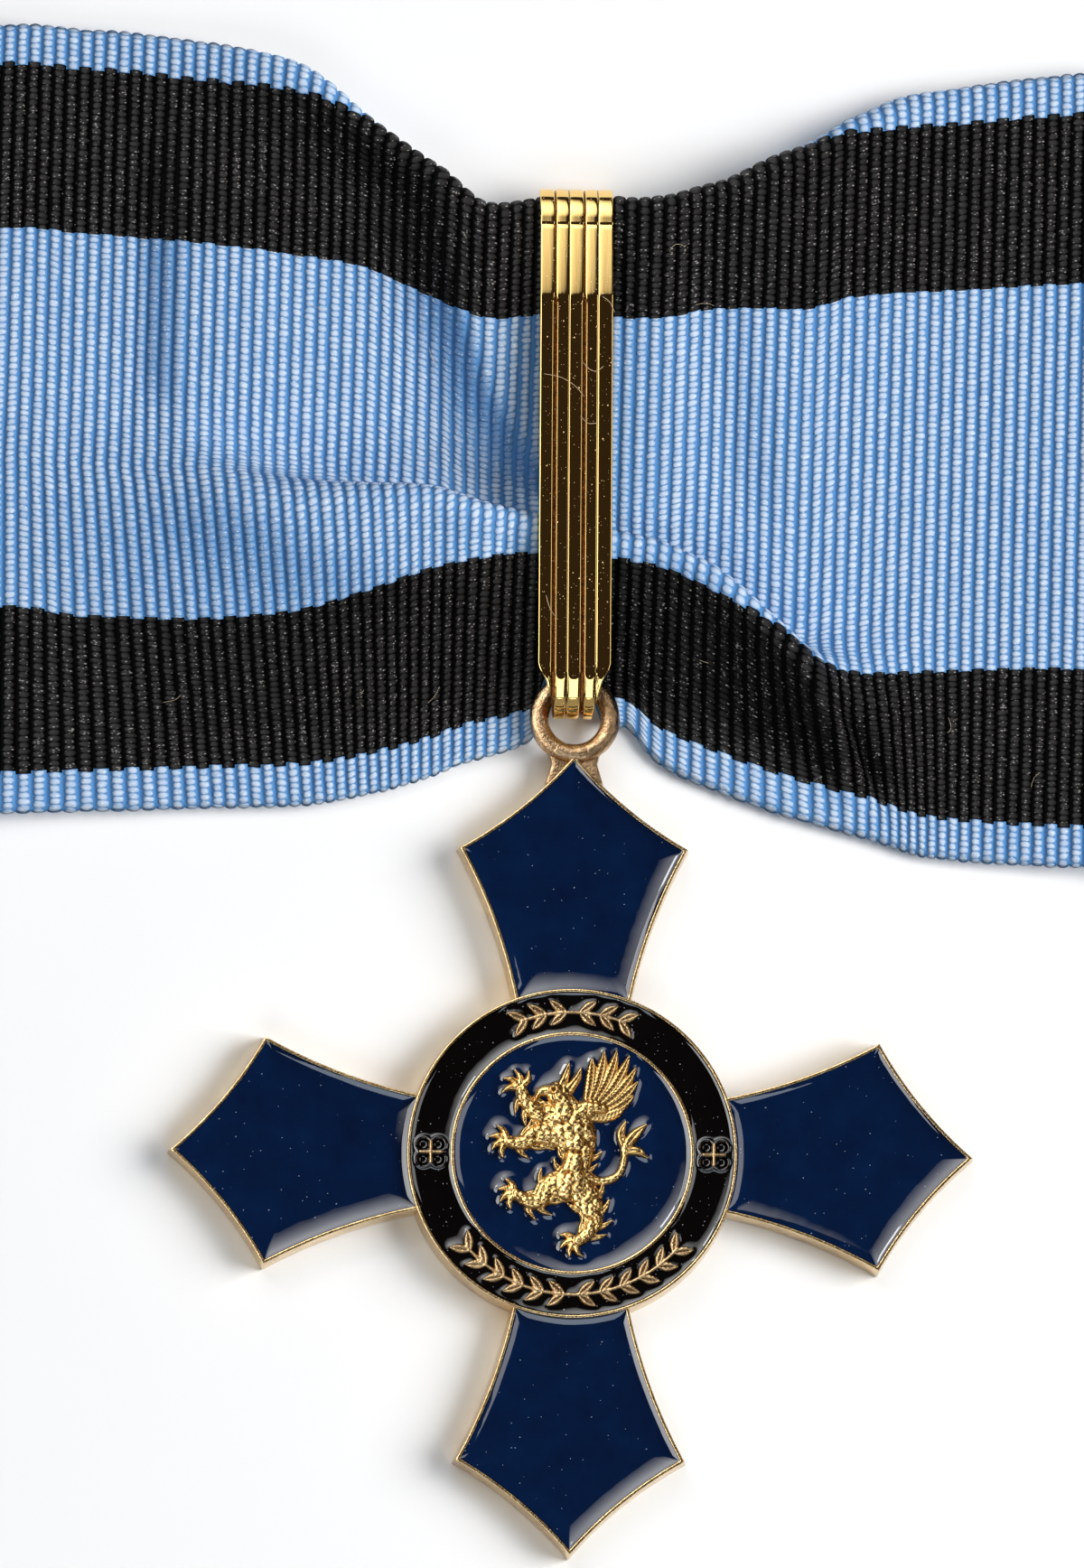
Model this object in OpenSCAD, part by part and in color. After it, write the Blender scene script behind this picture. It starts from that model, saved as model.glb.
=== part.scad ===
// A neck badge lying on a table: a four-armed enamelled cross on an eyelet ring,
// a fluted suspension clip, and the striped neck ribbon that the clip gathers.
// The origin is the middle of the medallion on the table, +Y runs up to the clip
// and +Z towards the viewer.

/* [Cross] */
// Distance from the middle to the tip of an arm
arm_reach = 22.7; // [21:0.1:24]
// Distance from the middle to an arm's two side corners, along the arm
corner_along = 17.4; // [16.5:0.1:18]
// Half the width of an arm across its side corners
corner_half = 6.45; // [6:0.05:7]
// Half the width of an arm where it meets the medallion
base_half = 3.3; // [3:0.05:3.6]
// How far each edge of an arm curves inwards
edge_sag = 0.37; // [0.2:0.01:0.5]
// Height of the arms' rims
rim_top = 2.2; // [2.1:0.05:2.4]
// Height of the floor under the enamel
floor_top = 1.4; // [1.2:0.05:1.5]
// Width of the metal rim round the enamel
rim_w = 0.27; // [0.22:0.01:0.35]
// How far the foot of the sides stands out below the rims
draft_step = 0.18; // [0.1:0.01:0.25]

/* [Medallion] */
// Outer radius of the medallion
medal_r = 9.35; // [9.2:0.05:9.5]
// Radius of the thin ring between the band and the middle
inner_r = 6.8; // [6.6:0.05:7]
// Width of the two raised rings
ring_line = 0.22; // [0.18:0.01:0.3]
// Height of the two raised rings
medal_top = 2.55; // [2.45:0.05:2.7]

/* [Eyelet] */
// Radius of the eyelet's round wire
wire_r = 0.53; // [0.45:0.01:0.55]
// Radius of the eyelet at the middle of its wire
eye_r = 1.97; // [1.93:0.01:2]
// Distance from the middle of the cross to the middle of the eyelet
eye_y = 24.9; // [24.8:0.05:25]

/* [Clip] */
// Width of the clip across its five flutes
clip_w = 4.15; // [4:0.05:4.2]
// Width of the tab that curls through the eyelet
tab_w = 2.1; // [2:0.05:2.15]
// Thickness of the clip's sheet
sheet = 0.45; // [0.4:0.01:0.45]
// Depth of the clip from its front to its back
clip_deep = 4.4; // [4.4:0.05:4.5]
// Height of the clip's lowest and highest edge above the middle of the cross
clip_low = 24.85; // [24.8:0.05:24.9]
clip_high = 55.35; // [55.3:0.05:55.5]
// Sideways place of the clip
clip_x = -0.15; // [-0.16:0.01:-0.14]

/* [Ribbon] */
// Width of the ribbon
band_w = 45; // [45:1:45]
// Thickness of the ribbon's wall
wall = 1.0; // [1:0.01:1.02]
// Length of the front stretch between the two corner folds
side_len = 154; // [150:1:160]
// Length of each end past the crossing at the back
end_len = 12; // [10:0.5:13]
// Turn of the whole ribbon against the cross, in degrees
band_turn = -1.05; // [-1.3:0.05:-0.9]
// Diameter and thickness of the press fastener where the ends cross
snap_d = 10; // [8:0.5:12]
snap_h = 1.5; // [1.3:0.1:1.6]

/* [Hidden] */
$fn = 64;
// The gap between the enamel and the metal round it
seat = 0.04;
eps = 0.01;

// Colours, as the photograph shows them
gold = [0.86, 0.66, 0.28];
navy = [0.02, 0.08, 0.24];
ink = [0.04, 0.04, 0.05];
sky = [0.52, 0.70, 0.88];
steel = [0.62, 0.63, 0.65];

// Plain helpers for points in the plane
function unit2(p) = p / norm(p);
function left_of(p) = [-p.y, p.x];
function mix(a, b, t) = a + (b - a) * t;
function clamp01(t) = min(max(t, 0), 1);
function ramp(x, from, to) = clamp01((x - from) / (to - from));
function smooth(t) = t * t * (3 - 2 * t);

// An edge from a to b that bows to the right of its way by sag, without its end
function bowed(a, b, sag, steps) =
    [for (k = [0:steps - 1])
        let (t = k / steps)
        mix(a, b, t) - left_of(unit2(b - a)) * sag * 4 * t * (1 - t)];

// A closed outline, run anticlockwise, drawn in by d all round
function inset(pts, d) =
    let (n = len(pts))
    [for (i = [0:n - 1])
        let (before = left_of(unit2(pts[i] - pts[(i + n - 1) % n])),
             after = left_of(unit2(pts[(i + 1) % n] - pts[i])),
             both = before + after)
        pts[i] + both * d * 2 / (both * both)];

// One arm along +X, from inside the medallion out to its tip
arm_root = 6;
arm_edge_steps = 8;
// The sides start a little inside the medallion's edge
foot_in = 0.3;
foot_along = sqrt(medal_r * medal_r - base_half * base_half) - foot_in;
foot_half = base_half - foot_in * (corner_half - base_half) / (corner_along - foot_along);
root_half = foot_half * arm_root / foot_along;
arm_outline = concat(
    [[arm_root, -root_half]],
    bowed([foot_along, -foot_half], [corner_along, -corner_half], -edge_sag, arm_edge_steps),
    bowed([corner_along, -corner_half], [arm_reach, 0], -edge_sag, arm_edge_steps),
    bowed([arm_reach, 0], [corner_along, corner_half], -edge_sag, arm_edge_steps),
    bowed([corner_along, corner_half], [foot_along, foot_half], -edge_sag, arm_edge_steps),
    [[foot_along, foot_half], [arm_root, root_half]]);
arm_enamel_top = rim_top - 0.02;

module arm_field(drawn_in) {
    difference() {
        polygon(inset(arm_outline, drawn_in));
        circle(r = medal_r + drawn_in - rim_w, $fn = 96);
    }
}

// The medallion's two enamelled fields
band_out = medal_r - ring_line;
band_in = inner_r + ring_line / 2;
field_r = inner_r - ring_line / 2;
medal_floor = 1.6;
band_top = medal_top - 0.12;
field_top = medal_top - 0.2;

// A tapered stroke through x, y and half width, smoothed, with rounded ends
function spline(p, i, t) =
    let (n = len(p), a = p[max(i - 1, 0)], b = p[i], c = p[min(i + 1, n - 1)],
         d = p[min(i + 2, n - 1)])
    0.5 * ((2 * b) + (c - a) * t + (2 * a - 5 * b + 4 * c - d) * t * t
           + (3 * b - a - 3 * c + d) * t * t * t);
function dense(p, steps) =
    concat([for (i = [0:len(p) - 2], k = [0:steps - 1]) spline(p, i, k / steps)],
           [p[len(p) - 1]]);
function xy(p) = [p.x, p.y];
function stroke_side(q, side) =
    [for (i = [0:len(q) - 1])
        let (on = unit2(xy(q[min(i + 1, len(q) - 1)]) - xy(q[max(i - 1, 0)])))
        xy(q[i]) + left_of(on) * side * q[i].z];
function backwards(p) = [for (i = [len(p) - 1:-1:0]) p[i]];
module stroke(p) {
    q = [for (s = dense(p, 3)) [s.x, s.y, max(s.z, tip_half)]];
    n = len(q);
    first = unit2(xy(q[0]) - xy(q[1]));
    last = unit2(xy(q[n - 1]) - xy(q[n - 2]));
    polygon(concat([xy(q[0]) + first * q[0].z], stroke_side(q, -1),
                   [xy(q[n - 1]) + last * q[n - 1].z], backwards(stroke_side(q, 1))));
}

// The griffin on the medallion, as strokes of x, y and half width.
// Body and head stand highest, then limbs, then feathers, claws, fur and tail.
HIGH = [
    // chest, belly and haunch
    [[-0.7, 2.2, 0.75], [0.1, 1.5, 1.3], [0.5, 0.2, 0.9], [0.15, -1.0, 0.7], [-0.35, -1.8, 0.9]],
    // neck and head
    [[-0.2, 1.9, 0.8], [-0.6, 2.9, 0.66], [-0.9, 3.55, 0.55]]
];
MIDDLE = [
    // beak and two ears
    [[-0.9, 3.65, 0.36], [-1.5, 3.62, 0.26], [-1.85, 3.2, 0.05]],
    [[-0.8, 3.8, 0.3], [-0.35, 4.5, 0.25], [-0.2, 5.15, 0.05]],
    [[-0.5, 3.5, 0.3], [0.15, 4.3, 0.25], [0.5, 4.95, 0.05]],
    // raised foreleg and lower foreleg
    [[-0.5, 2.0, 0.65], [-1.7, 1.9, 0.52], [-2.55, 2.6, 0.38], [-2.9, 3.4, 0.3]],
    [[-0.3, 0.9, 0.7], [-1.5, 0.75, 0.58], [-2.6, 0.15, 0.42], [-3.5, 0.2, 0.32]],
    // hind leg stepping forward, in two strokes, and hind leg that bears the body
    [[-0.3, -1.6, 0.8], [-0.95, -2.0, 0.72], [-1.2, -2.75, 0.5]],
    [[-1.0, -2.85, 0.45], [-2.3, -3.1, 0.42], [-3.25, -2.75, 0.32]],
    [[0.1, -1.7, 0.8], [0.75, -2.8, 0.62], [1.3, -3.8, 0.44], [0.75, -4.8, 0.38], [0.2, -5.2, 0.32]],
    // leading edge of the wing
    [[0.5, 2.1, 0.5], [1.05, 3.3, 0.34], [1.5, 4.4, 0.28], [1.75, 5.4, 0.05]]
];
// Claws and toes of the four feet: foot x, y, first angle, step and length
FEET = [[-2.95, 3.4, 55, 44, 0.95], [-3.6, 0.25, 108, 44, 0.9],
        [-3.3, -2.7, 118, 44, 0.8], [0.2, -5.15, 145, 42, 0.85]];
claw_count = 4;
claw_half = 0.24;
claw_hook = 14;
tip_half = 0.05;
// Feathers fan from the wing's root: angle, reach and start
FEATHERS = [[62, 4.6, 1.2], [50, 5.0, 1.3], [39, 4.5, 1.3], [28, 4.2, 1.3],
            [17, 3.8, 1.2], [6, 3.3, 1.1], [-6, 2.8, 1.0]];
wing_root = [0.25, 1.9];
feather_half = 0.27;
LOW = [
    // tail and its two tufts
    [[0.4, -0.9, 0.22], [1.6, -1.7, 0.2], [2.75, -1.4, 0.2], [2.6, -0.3, 0.2], [2.9, 0.4, 0.22]],
    [[2.75, 0.2, 0.18], [3.5, 0.65, 0.3], [4.35, 1.1, 0.05]],
    [[2.8, 0.15, 0.18], [3.3, -0.3, 0.28], [3.45, -1.05, 0.05]],
    // tufts of fur behind the limbs
    [[-1.7, 1.6, 0.3], [-2.4, 1.5, 0.2], [-2.8, 1.7, 0.05]],
    [[-1.9, 0.3, 0.3], [-2.2, -0.4, 0.2], [-2.6, -0.7, 0.05]],
    [[-1.9, -3.2, 0.3], [-1.7, -3.75, 0.2], [-1.95, -4.1, 0.05]],
    [[0.7, -3.6, 0.3], [0.2, -3.6, 0.2], [-0.15, -3.85, 0.05]],
    [[1.3, -4.1, 0.3], [1.75, -4.6, 0.2], [1.7, -5.0, 0.05]]
];
module claws() {
    for (f = FEET, k = [0:claw_count - 1]) {
        a = f[2] + k * f[3];
        toe = f[4];
        stroke([[f.x, f.y, claw_half],
                [f.x + 0.6 * toe * cos(a), f.y + 0.6 * toe * sin(a), 0.7 * claw_half],
                [f.x + toe * cos(a + claw_hook), f.y + toe * sin(a + claw_hook), tip_half]]);
    }
}
module feathers() {
    for (f = FEATHERS) {
        on = [cos(f[0]), sin(f[0])];
        a = wing_root + on * f[2] * 0.5;
        b = wing_root + on * (f[2] + f[1]) * 0.5;
        c = wing_root + on * f[1];
        stroke([[a.x, a.y, 0.75 * feather_half], [b.x, b.y, feather_half], [c.x, c.y, tip_half]]);
    }
}
module griffin_low() {
    claws();
    feathers();
    for (s = LOW) stroke(s);
}
module griffin_middle() {
    for (s = MIDDLE) stroke(s);
}
module griffin_high() {
    for (s = HIGH) stroke(s);
}
module griffin_outline() {
    griffin_low();
    griffin_middle();
    griffin_high();
}

// The band's ornament: sprays of paired leaves at the top and the bottom,
// and a small plain cross at each side
band_mid = (band_in + band_out) / 2;
leaf_len = 1.0;
leaf_half = 0.22;
stem_half = 0.09;
// Each spray: middle angle, leaf pairs on each side of its middle, angle between pairs
SPRAYS = [[90, 3, 8.2], [270, 6, 8.6]];
// Where the first pair stands, in steps, and how far a leaf leans from the stem
first_leaf = 0.35;
leaf_spread = 38;
cross_arm = 0.66;
cross_half = 0.09;
module leaf() {
    stroke([[0, 0, stem_half], [leaf_len * 0.5, 0, leaf_half], [leaf_len, 0, tip_half]]);
}
module spray(middle, pairs, step) {
    for (side = [-1, 1]) {
        for (k = [0:pairs - 1], up = [-1, 1]) {
            a = middle + side * (k + first_leaf) * step;
            rotate(a) translate([band_mid, 0])
                rotate(side * (90 - up * leaf_spread)) leaf();
        }
    }
    reach = (pairs - 0.4) * step;
    steps = ceil(reach / 4);
    stroke([for (k = [-steps:steps])
        let (a = middle + k * reach / steps)
        [band_mid * cos(a), band_mid * sin(a), stem_half]]);
}
module band_ornament() {
    for (s = SPRAYS) spray(s[0], s[1], s[2]);
    for (side = [-1, 1]) translate([side * band_mid, 0]) {
        square([2 * cross_arm, 2 * cross_half], center = true);
        square([2 * cross_half, 2 * cross_arm], center = true);
    }
}

// Cast metal: arms, medallion, eyelet, griffin and ornament in one piece
eye_z = 1.8;
web_w = 2.46;
web_overlap = 0.1;
web_root = 1.6;
web_top = 1.9;
relief_low = medal_top + 0.1;
relief_middle = medal_top + 0.3;
relief_high = medal_top + 0.5;
ornament_top = medal_top + 0.08;
module eyelet() {
    translate([0, eye_y, eye_z]) rotate_extrude() translate([eye_r, 0]) circle(r = wire_r);
    // two webs join the ring to the arm's shoulders, clear of the ring's hole
    difference() {
        translate([-web_w / 2, arm_reach - web_root, eye_z - wire_r])
            cube([web_w, eye_y - arm_reach, web_top - eye_z + wire_r]);
        translate([0, eye_y, 0]) cylinder(r = eye_r - web_overlap, h = 2 * web_top);
    }
}
module cross_body() {
    for (k = [0:3]) rotate(k * 90) {
        linear_extrude(rim_top) polygon(arm_outline);
        linear_extrude(rim_top / 3) polygon(inset(arm_outline, -draft_step));
    }
    cylinder(r = medal_r, h = medal_top);
    cylinder(r = medal_r + draft_step, h = rim_top / 3);
    eyelet();
}
module cross() {
    color(gold) {
        difference() {
            cross_body();
            for (k = [0:3]) rotate(k * 90)
                translate([0, 0, floor_top]) linear_extrude(2) arm_field(rim_w);
            translate([0, 0, medal_floor]) difference() {
                cylinder(r = band_out, h = 2);
                translate([0, 0, -1]) cylinder(r = band_in, h = 4);
            }
            translate([0, 0, medal_floor]) cylinder(r = field_r, h = 2);
        }
        relief(relief_low) griffin_low();
        relief(relief_middle) griffin_middle();
        relief(relief_high) griffin_high();
        relief(ornament_top) band_ornament();
    }
}
// A raised design, joined into one outline before it is made solid
module relief(top) {
    translate([0, 0, medal_floor - 0.2])
        linear_extrude(top - medal_floor + 0.2) offset(delta = 0) children();
}

// Enamel laid in the recesses, level with the rims
module enamel_arm(turn) {
    color(navy) rotate(turn) translate([0, 0, floor_top])
        linear_extrude(arm_enamel_top - floor_top) arm_field(rim_w + seat);
}
module enamel_band() {
    color(ink) translate([0, 0, medal_floor])
        linear_extrude(band_top - medal_floor) difference() {
            circle(r = band_out - seat);
            circle(r = band_in + seat);
            offset(delta = seat) band_ornament();
        }
}
module enamel_centre() {
    color(navy) translate([0, 0, medal_floor])
        linear_extrude(field_top - medal_floor) difference() {
            circle(r = field_r - seat);
            offset(delta = seat) griffin_outline();
        }
}

// The clip: one strip folded over the ribbon, whose tab curls through the eyelet
clip_r = clip_deep / 2;
flute_gap = 0.12;
flute_deep = 0.1;
flute_count = 5;
module slot_shape(r, y_low, y_high) {
    translate([y_low, 0]) circle(r = r);
    translate([y_high, 0]) circle(r = r);
    translate([y_low, -r]) square([y_high - y_low, 2 * r]);
}
module clip_loop(outer, width) {
    low = clip_low + clip_r;
    high = clip_high - clip_r;
    rotate([90, 0, 90]) linear_extrude(width, center = true) difference() {
        slot_shape(outer, low, high);
        slot_shape(clip_r - sheet, low, high);
    }
}
chamfer_from = 27.6;
chamfer_to = 26.7;
back_from = 48;
back_to = 46;
module clip_side_cut() {
    // beside the tab in front, and beside the narrow leg at the back
    big = 4;
    front = [[clip_w / 2 + eps, chamfer_from + eps], [tab_w / 2, chamfer_to],
             [tab_w / 2, clip_low - 1], [big, clip_low - 1], [big, chamfer_from + eps]];
    back = [[clip_w / 2 + 1, back_from + 1], [tab_w / 2, back_to], [tab_w / 2, clip_low - 1],
            [big, clip_low - 1], [big, back_from + 1]];
    linear_extrude(big * 2) polygon(backwards(front));
    translate([0, 0, -big]) linear_extrude(big) polygon(backwards(back));
}
module clip() {
    pitch = (clip_w + flute_gap) / flute_count;
    color(gold) translate([clip_x, 0, clip_r]) difference() {
        union() {
            clip_loop(clip_r - flute_deep, clip_w);
            for (k = [0:flute_count - 1])
                translate([(k - (flute_count - 1) / 2) * pitch, 0, 0])
                    clip_loop(clip_r, pitch - flute_gap);
        }
        clip_side_cut();
        mirror([1, 0, 0]) clip_side_cut();
    }
}

// The front of the ribbon, as sections across it.
// s is the place along the ribbon, v runs from the top edge (0) to the bottom edge.
// low: height of the bottom edge. roll_v, roll: where the top edge rolls under, and how far.
// pleat, crest, deep, soft: the pleat's turn, the v of its crest, its depth and softness.
// z_top, z_valley, z_low: heights above the table.
S = 0; LOW_Y = 1; ROLL_V = 2; ROLL = 3; PLEAT = 4; CREST = 5; DEEP = 6; SOFT = 7;
Z_TOP = 8; Z_VALLEY = 9; Z_LOW = 10;
SECTIONS = [
//    s    low  roll_v roll pleat crest  deep soft  z_top z_val z_low
    [-46, 17.5, 1.1,    0,    0, 23.5,  5.2, 5.0,  1.70, 1.70, 1.70],
    [-36, 17.7, 1.1,    0,    2, 23.5,  5.2, 5.0,  1.75, 1.60, 1.40],
    [-29, 18.1, 1.1,    4,   10, 23.5,  5.0, 4.8,  1.80, 1.10, 0.90],
    [-22, 18.7, 1.1,   14,   28, 23.6,  4.6, 4.4,  2.30, 0.75, 0.65],
    [-17, 19.5, 1.1,   55,   56, 24.6,  4.2, 4.0,  3.20, 0.70, 0.65],
    [-12, 20.5, 1.4,  125,  100, 26.8,  3.7, 3.2,  3.80, 0.75, 0.65],
    [ -8, 21.5, 2.8,  162,  138, 28.9,  3.8, 2.4,  3.70, 0.90, 0.62],
    [ -5, 22.3, 4.2,  178,  168, 30.6,  4.0, 1.9,  3.45, 1.18, 0.60],
    [ -3, 22.5, 4.6,  180,  180, 31.4,  4.1, 1.8,  3.10, 1.22, 0.60],
    [  0, 22.7, 4.6,  180,  180, 31.8,  4.1, 1.8,  3.02, 1.22, 0.60],
    [  3, 22.5, 4.6,  180,  180, 32.0,  4.1, 1.8,  3.10, 1.22, 0.60],
    [  5, 22.2, 4.5,  180,  178, 32.0,  3.9, 1.8,  3.40, 1.18, 0.60],
    [  8, 21.1, 3.8,  172,  166, 32.1,  3.0, 1.9,  3.50, 0.95, 0.62],
    [ 12, 19.3, 2.3,  145,  128, 32.6,  2.4, 2.1,  3.30, 0.80, 0.65],
    [ 16, 18.0, 1.2,   65,   58, 33.0,  3.2, 3.0,  2.50, 0.75, 0.65],
    [ 21, 17.2, 1.1,   15,   16, 33.0,  4.0, 3.8,  1.80, 0.80, 0.65],
    [ 29, 17.1, 1.1,    4,    2, 33.0,  5.0, 4.8,  1.70, 1.20, 1.00],
    [ 36, 17.3, 1.1,    0,    0, 33.0,  5.2, 5.0,  1.75, 1.60, 1.40],
    [ 46, 17.5, 1.1,    0,    0, 33.0,  5.2, 5.0,  1.70, 1.70, 1.70]
];
last_row = len(SECTIONS) - 1;
// Slopes that never overshoot between two rows
function secant(i) = (SECTIONS[i + 1] - SECTIONS[i]) / (SECTIONS[i + 1][S] - SECTIONS[i][S]);
function tame(a, b) = a * b > 0 ? 2 * a * b / (a + b) : 0;
SLOPES = [for (i = [0:last_row])
    i == 0 || i == last_row ? 0 * SECTIONS[0]
    : let (a = secant(i - 1), b = secant(i)) [for (c = [0:Z_LOW]) tame(a[c], b[c])]];
function row_before(s) = max([for (i = [0:last_row - 1]) if (i == 0 || SECTIONS[i][S] <= s) i]);
function row_at(s) =
    let (i = row_before(s), a = SECTIONS[i], b = SECTIONS[i + 1], w = b[S] - a[S],
         t = clamp01((s - a[S]) / w), t2 = t * t, t3 = t2 * t)
    a * (2 * t3 - 3 * t2 + 1) + SLOPES[i] * (t3 - 2 * t2 + t) * w
    + b * (3 * t2 - 2 * t3) + SLOPES[i + 1] * (t3 - t2) * w;

// The places across the ribbon where a section has a point
roll_len = 1.8;
roll_steps = 5;
function between(a, b, n) = [for (k = [1:n - 1]) mix(a, b, k / n)];
function stops(r) =
    let (top_a = r[ROLL_V] - roll_len / 2, top_b = r[ROLL_V] + roll_len / 2,
         under = r[CREST] - r[DEEP], h = r[SOFT] / 2)
    concat([0], [for (k = [0:roll_steps]) mix(top_a, top_b, k / roll_steps)],
           between(top_b, under - h, 5),
           [for (k = [0:roll_steps]) mix(under - h, under + h, k / roll_steps)],
           between(under + h, r[CREST] - h, 2),
           [for (k = [0:roll_steps]) mix(r[CREST] - h, r[CREST] + h, k / roll_steps)],
           between(r[CREST] + h, band_w, 5), [band_w]);

// How steeply the ribbon falls towards its bottom edge at v: 180 is folded right back
flat_edge = 3.6;
function lean(r, v) =
    let (roll_end = r[ROLL_V] + roll_len / 2, h = r[SOFT] / 2, under = r[CREST] - r[DEEP],
         turn = max(r[PLEAT], 0.1),
         rise = 2 * r[SOFT] * (1 - cos(turn)) / (turn * PI / 180)
                + (r[DEEP] - r[SOFT]) * sin(turn),
         upper = asin((r[Z_TOP] - r[Z_VALLEY]) / (under - h - roll_end)),
         low_end = band_w - flat_edge,
         lower = asin((r[Z_VALLEY] + rise - r[Z_LOW]) / (low_end - r[CREST] - h)))
    r[ROLL] * (1 - ramp(v, r[ROLL_V] - roll_len / 2, roll_end))
    + r[PLEAT] * (ramp(v, under - h, under + h) - ramp(v, r[CREST] - h, r[CREST] + h))
    - upper * (ramp(v, roll_end - 1, roll_end + 1) - ramp(v, under - h - 1, under - h + 1))
    - lower * (ramp(v, r[CREST] + h - 1, r[CREST] + h + 1)
               - ramp(v, low_end - 1, low_end + 1));

// Behind the eyelet the bottom edge draws up into the clip
gather_s = 0.7;
gather_up = 6.2;
gather_lift = 0.52;
function gather(s) = 1 - smooth(ramp(abs(s - gather_s), 0.95, 2.7));
function over_leg(s) = 1 - ramp(abs(s - gather_s), 1.25, 1.75);
// A section as points of y, z, worked up from the bottom edge
function chord(turn) = abs(turn) < 0.01 ? 1 : sin(turn / 2) / (turn / 2 * PI / 180);
function climb(r, v, i, at) =
    i < 0 ? [at]
    : let (a = lean(r, v[i]), b = lean(r, v[i + 1]), m = (a + b) / 2,
           d = (v[i + 1] - v[i]) * chord(b - a))
      concat([at], climb(r, v, i - 1, at + [cos(m) * d, -sin(m) * d]));
function section(s) =
    let (r = row_at(s), v = stops(r), n = len(v), pull = gather(s),
         raw = climb(r, v, n - 2, [r[LOW_Y], r[Z_LOW]]))
    [for (i = [0:n - 1])
        let (p = raw[n - 1 - i], down = ramp(v[i], 34, band_w))
        [p.x + gather_up * pull * down, p.y + gather_lift * over_leg(s) * ramp(v[i], 34, 40)]];
function section_normal(q, i) =
    let (n = len(q), on = unit2(q[min(i + 1, n - 1)] - q[max(i - 1, 0)]))
    [on.y, -on.x];

// The whole band, folded under at two corners, with its ends crossing at the back.
// A station is a place along the band and how much its line slants across the band.
corner_s = side_len / 2;
fold_turn = 60;
slant = 1 / tan(fold_turn);
fold_r = 0.6;
fold_len = PI * fold_r / sin(fold_turn);
fold_steps = 5;
band_y = 40;
front_z = wall / 2 + 2 * fold_r;
apex_s = corner_s + side_len;
FRONT_STATIONS = [35, 32.5, 29, 26, 23.5, 21.5, 19.5, 17.8, 16.2, 14.7, 13.2, 11.8, 10.4, 9.1,
                  7.8, 6.6, 5.5, 4.5, 3.7, 3.1, 2.6, 2.15, 1.75, 1.25, 0.6];
half_side = concat(
    [[46, 0], [55, 0.3 * slant], [66, 0.8 * slant]],
    [for (k = [0:fold_steps]) [corner_s + k * fold_len / fold_steps, slant]],
    [[corner_s + 16, 0.8 * slant], [corner_s + 50, 0.2 * slant], [apex_s - 62, 0],
     [apex_s - 52, 0], [apex_s - 44, 0], [apex_s - 36, 0], [apex_s - 26, 0], [apex_s - 16, 0],
     [apex_s + end_len, 0]]);
stations = concat(
    [for (q = backwards(half_side)) [-q.x, -q.y]],
    [for (s = FRONT_STATIONS) [gather_s - s, 0]], [[gather_s, 0]],
    [for (s = backwards(FRONT_STATIONS)) [gather_s + s, 0]], half_side);

// The upper end climbs over the lower end and the fastener between them
cross_gap = 0.05;
lift_max = wall + snap_h + 2 * cross_gap;
function lift(a) = a < 0 ? 0 : lift_max * smooth(ramp(a, apex_s - 62, apex_s - 16));

// A point of the flat band, at a along and w across, with h above its middle surface
function folded(a, w, h) =
    let (m = a < 0 ? -1 : 1, along = abs(a),
         n = [sin(fold_turn), -cos(fold_turn)], line = [cos(fold_turn), sin(fold_turn)],
         p = [along - corner_s, w], d = p * n, foot = line * (p * line),
         turn = clamp01(d / (PI * fold_r)) * 180,
         out = d <= 0 ? d : (fold_r + h) * sin(turn) - max(d - PI * fold_r, 0),
         flat = foot + n * out + [corner_s, band_y],
         z = d <= 0 ? front_z + h : front_z - fold_r + (fold_r + h) * cos(turn))
    [m * flat.x, flat.y, z + lift(a)];
function skin(station, side) =
    let (a = station.x, h = side * wall / 2)
    abs(a) <= 46
    ? let (q = section(a))
      [for (i = [0:len(q) - 1])
          let (p = q[i] + section_normal(q, i) * h)
          [a, p.x, p.y]]
    : [for (v = stops(row_at(a)))
          let (w = band_w / 2 - v)
          folded(a + station.y * w, w, h)];
module sheet_solid(tops, bottoms) {
    m = len(tops);
    n = len(tops[0]);
    pts = concat([for (r = tops) each r], [for (r = bottoms) each r]);
    under = m * n;
    faces = concat(
        [for (i = [0:m - 2], j = [0:n - 2])
            let (a = i * n + j, b = a + n)
            each [[a, a + 1, b + 1], [a, b + 1, b],
                  [under + a, under + b + 1, under + a + 1], [under + a, under + b, under + b + 1]]],
        [for (i = [0:m - 2])
            let (a = i * n, b = a + n, c = a + n - 1, d = c + n)
            each [[a, b, under + b], [a, under + b, under + a],
                  [c, under + d, d], [c, under + c, under + d]]],
        [for (j = [0:n - 2])
            let (a = j, c = (m - 1) * n + j)
            each [[a, under + a + 1, a + 1], [a, under + a, under + a + 1],
                  [c, c + 1, under + c + 1], [c, under + c + 1, under + c]]]);
    polyhedron(pts, faces, convexity = 10);
}
// The band's own frame: the middle of its front stretch, turned against the cross
band_x = -0.5;
module in_band_frame() {
    translate([band_x, band_y, 0]) rotate(band_turn) translate([0, -band_y, 0]) children();
}
module ribbon() {
    color(sky) in_band_frame()
        sheet_solid([for (q = stations) skin(q, 1)], [for (q = stations) skin(q, -1)]);
}

// One plain press fastener, closed, sewn between the two ends where they cross
module ribbon_snap() {
    apex_y = band_y + side_len * sin(fold_turn);
    edge = 0.3;
    color(steel) in_band_frame() translate([0, apex_y, wall + cross_gap])
        rotate_extrude() polygon([[0, 0], [snap_d / 2 - edge, 0], [snap_d / 2, edge],
                                  [snap_d / 2, snap_h - edge], [snap_d / 2 - edge, snap_h], [0, snap_h]]);
}

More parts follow.
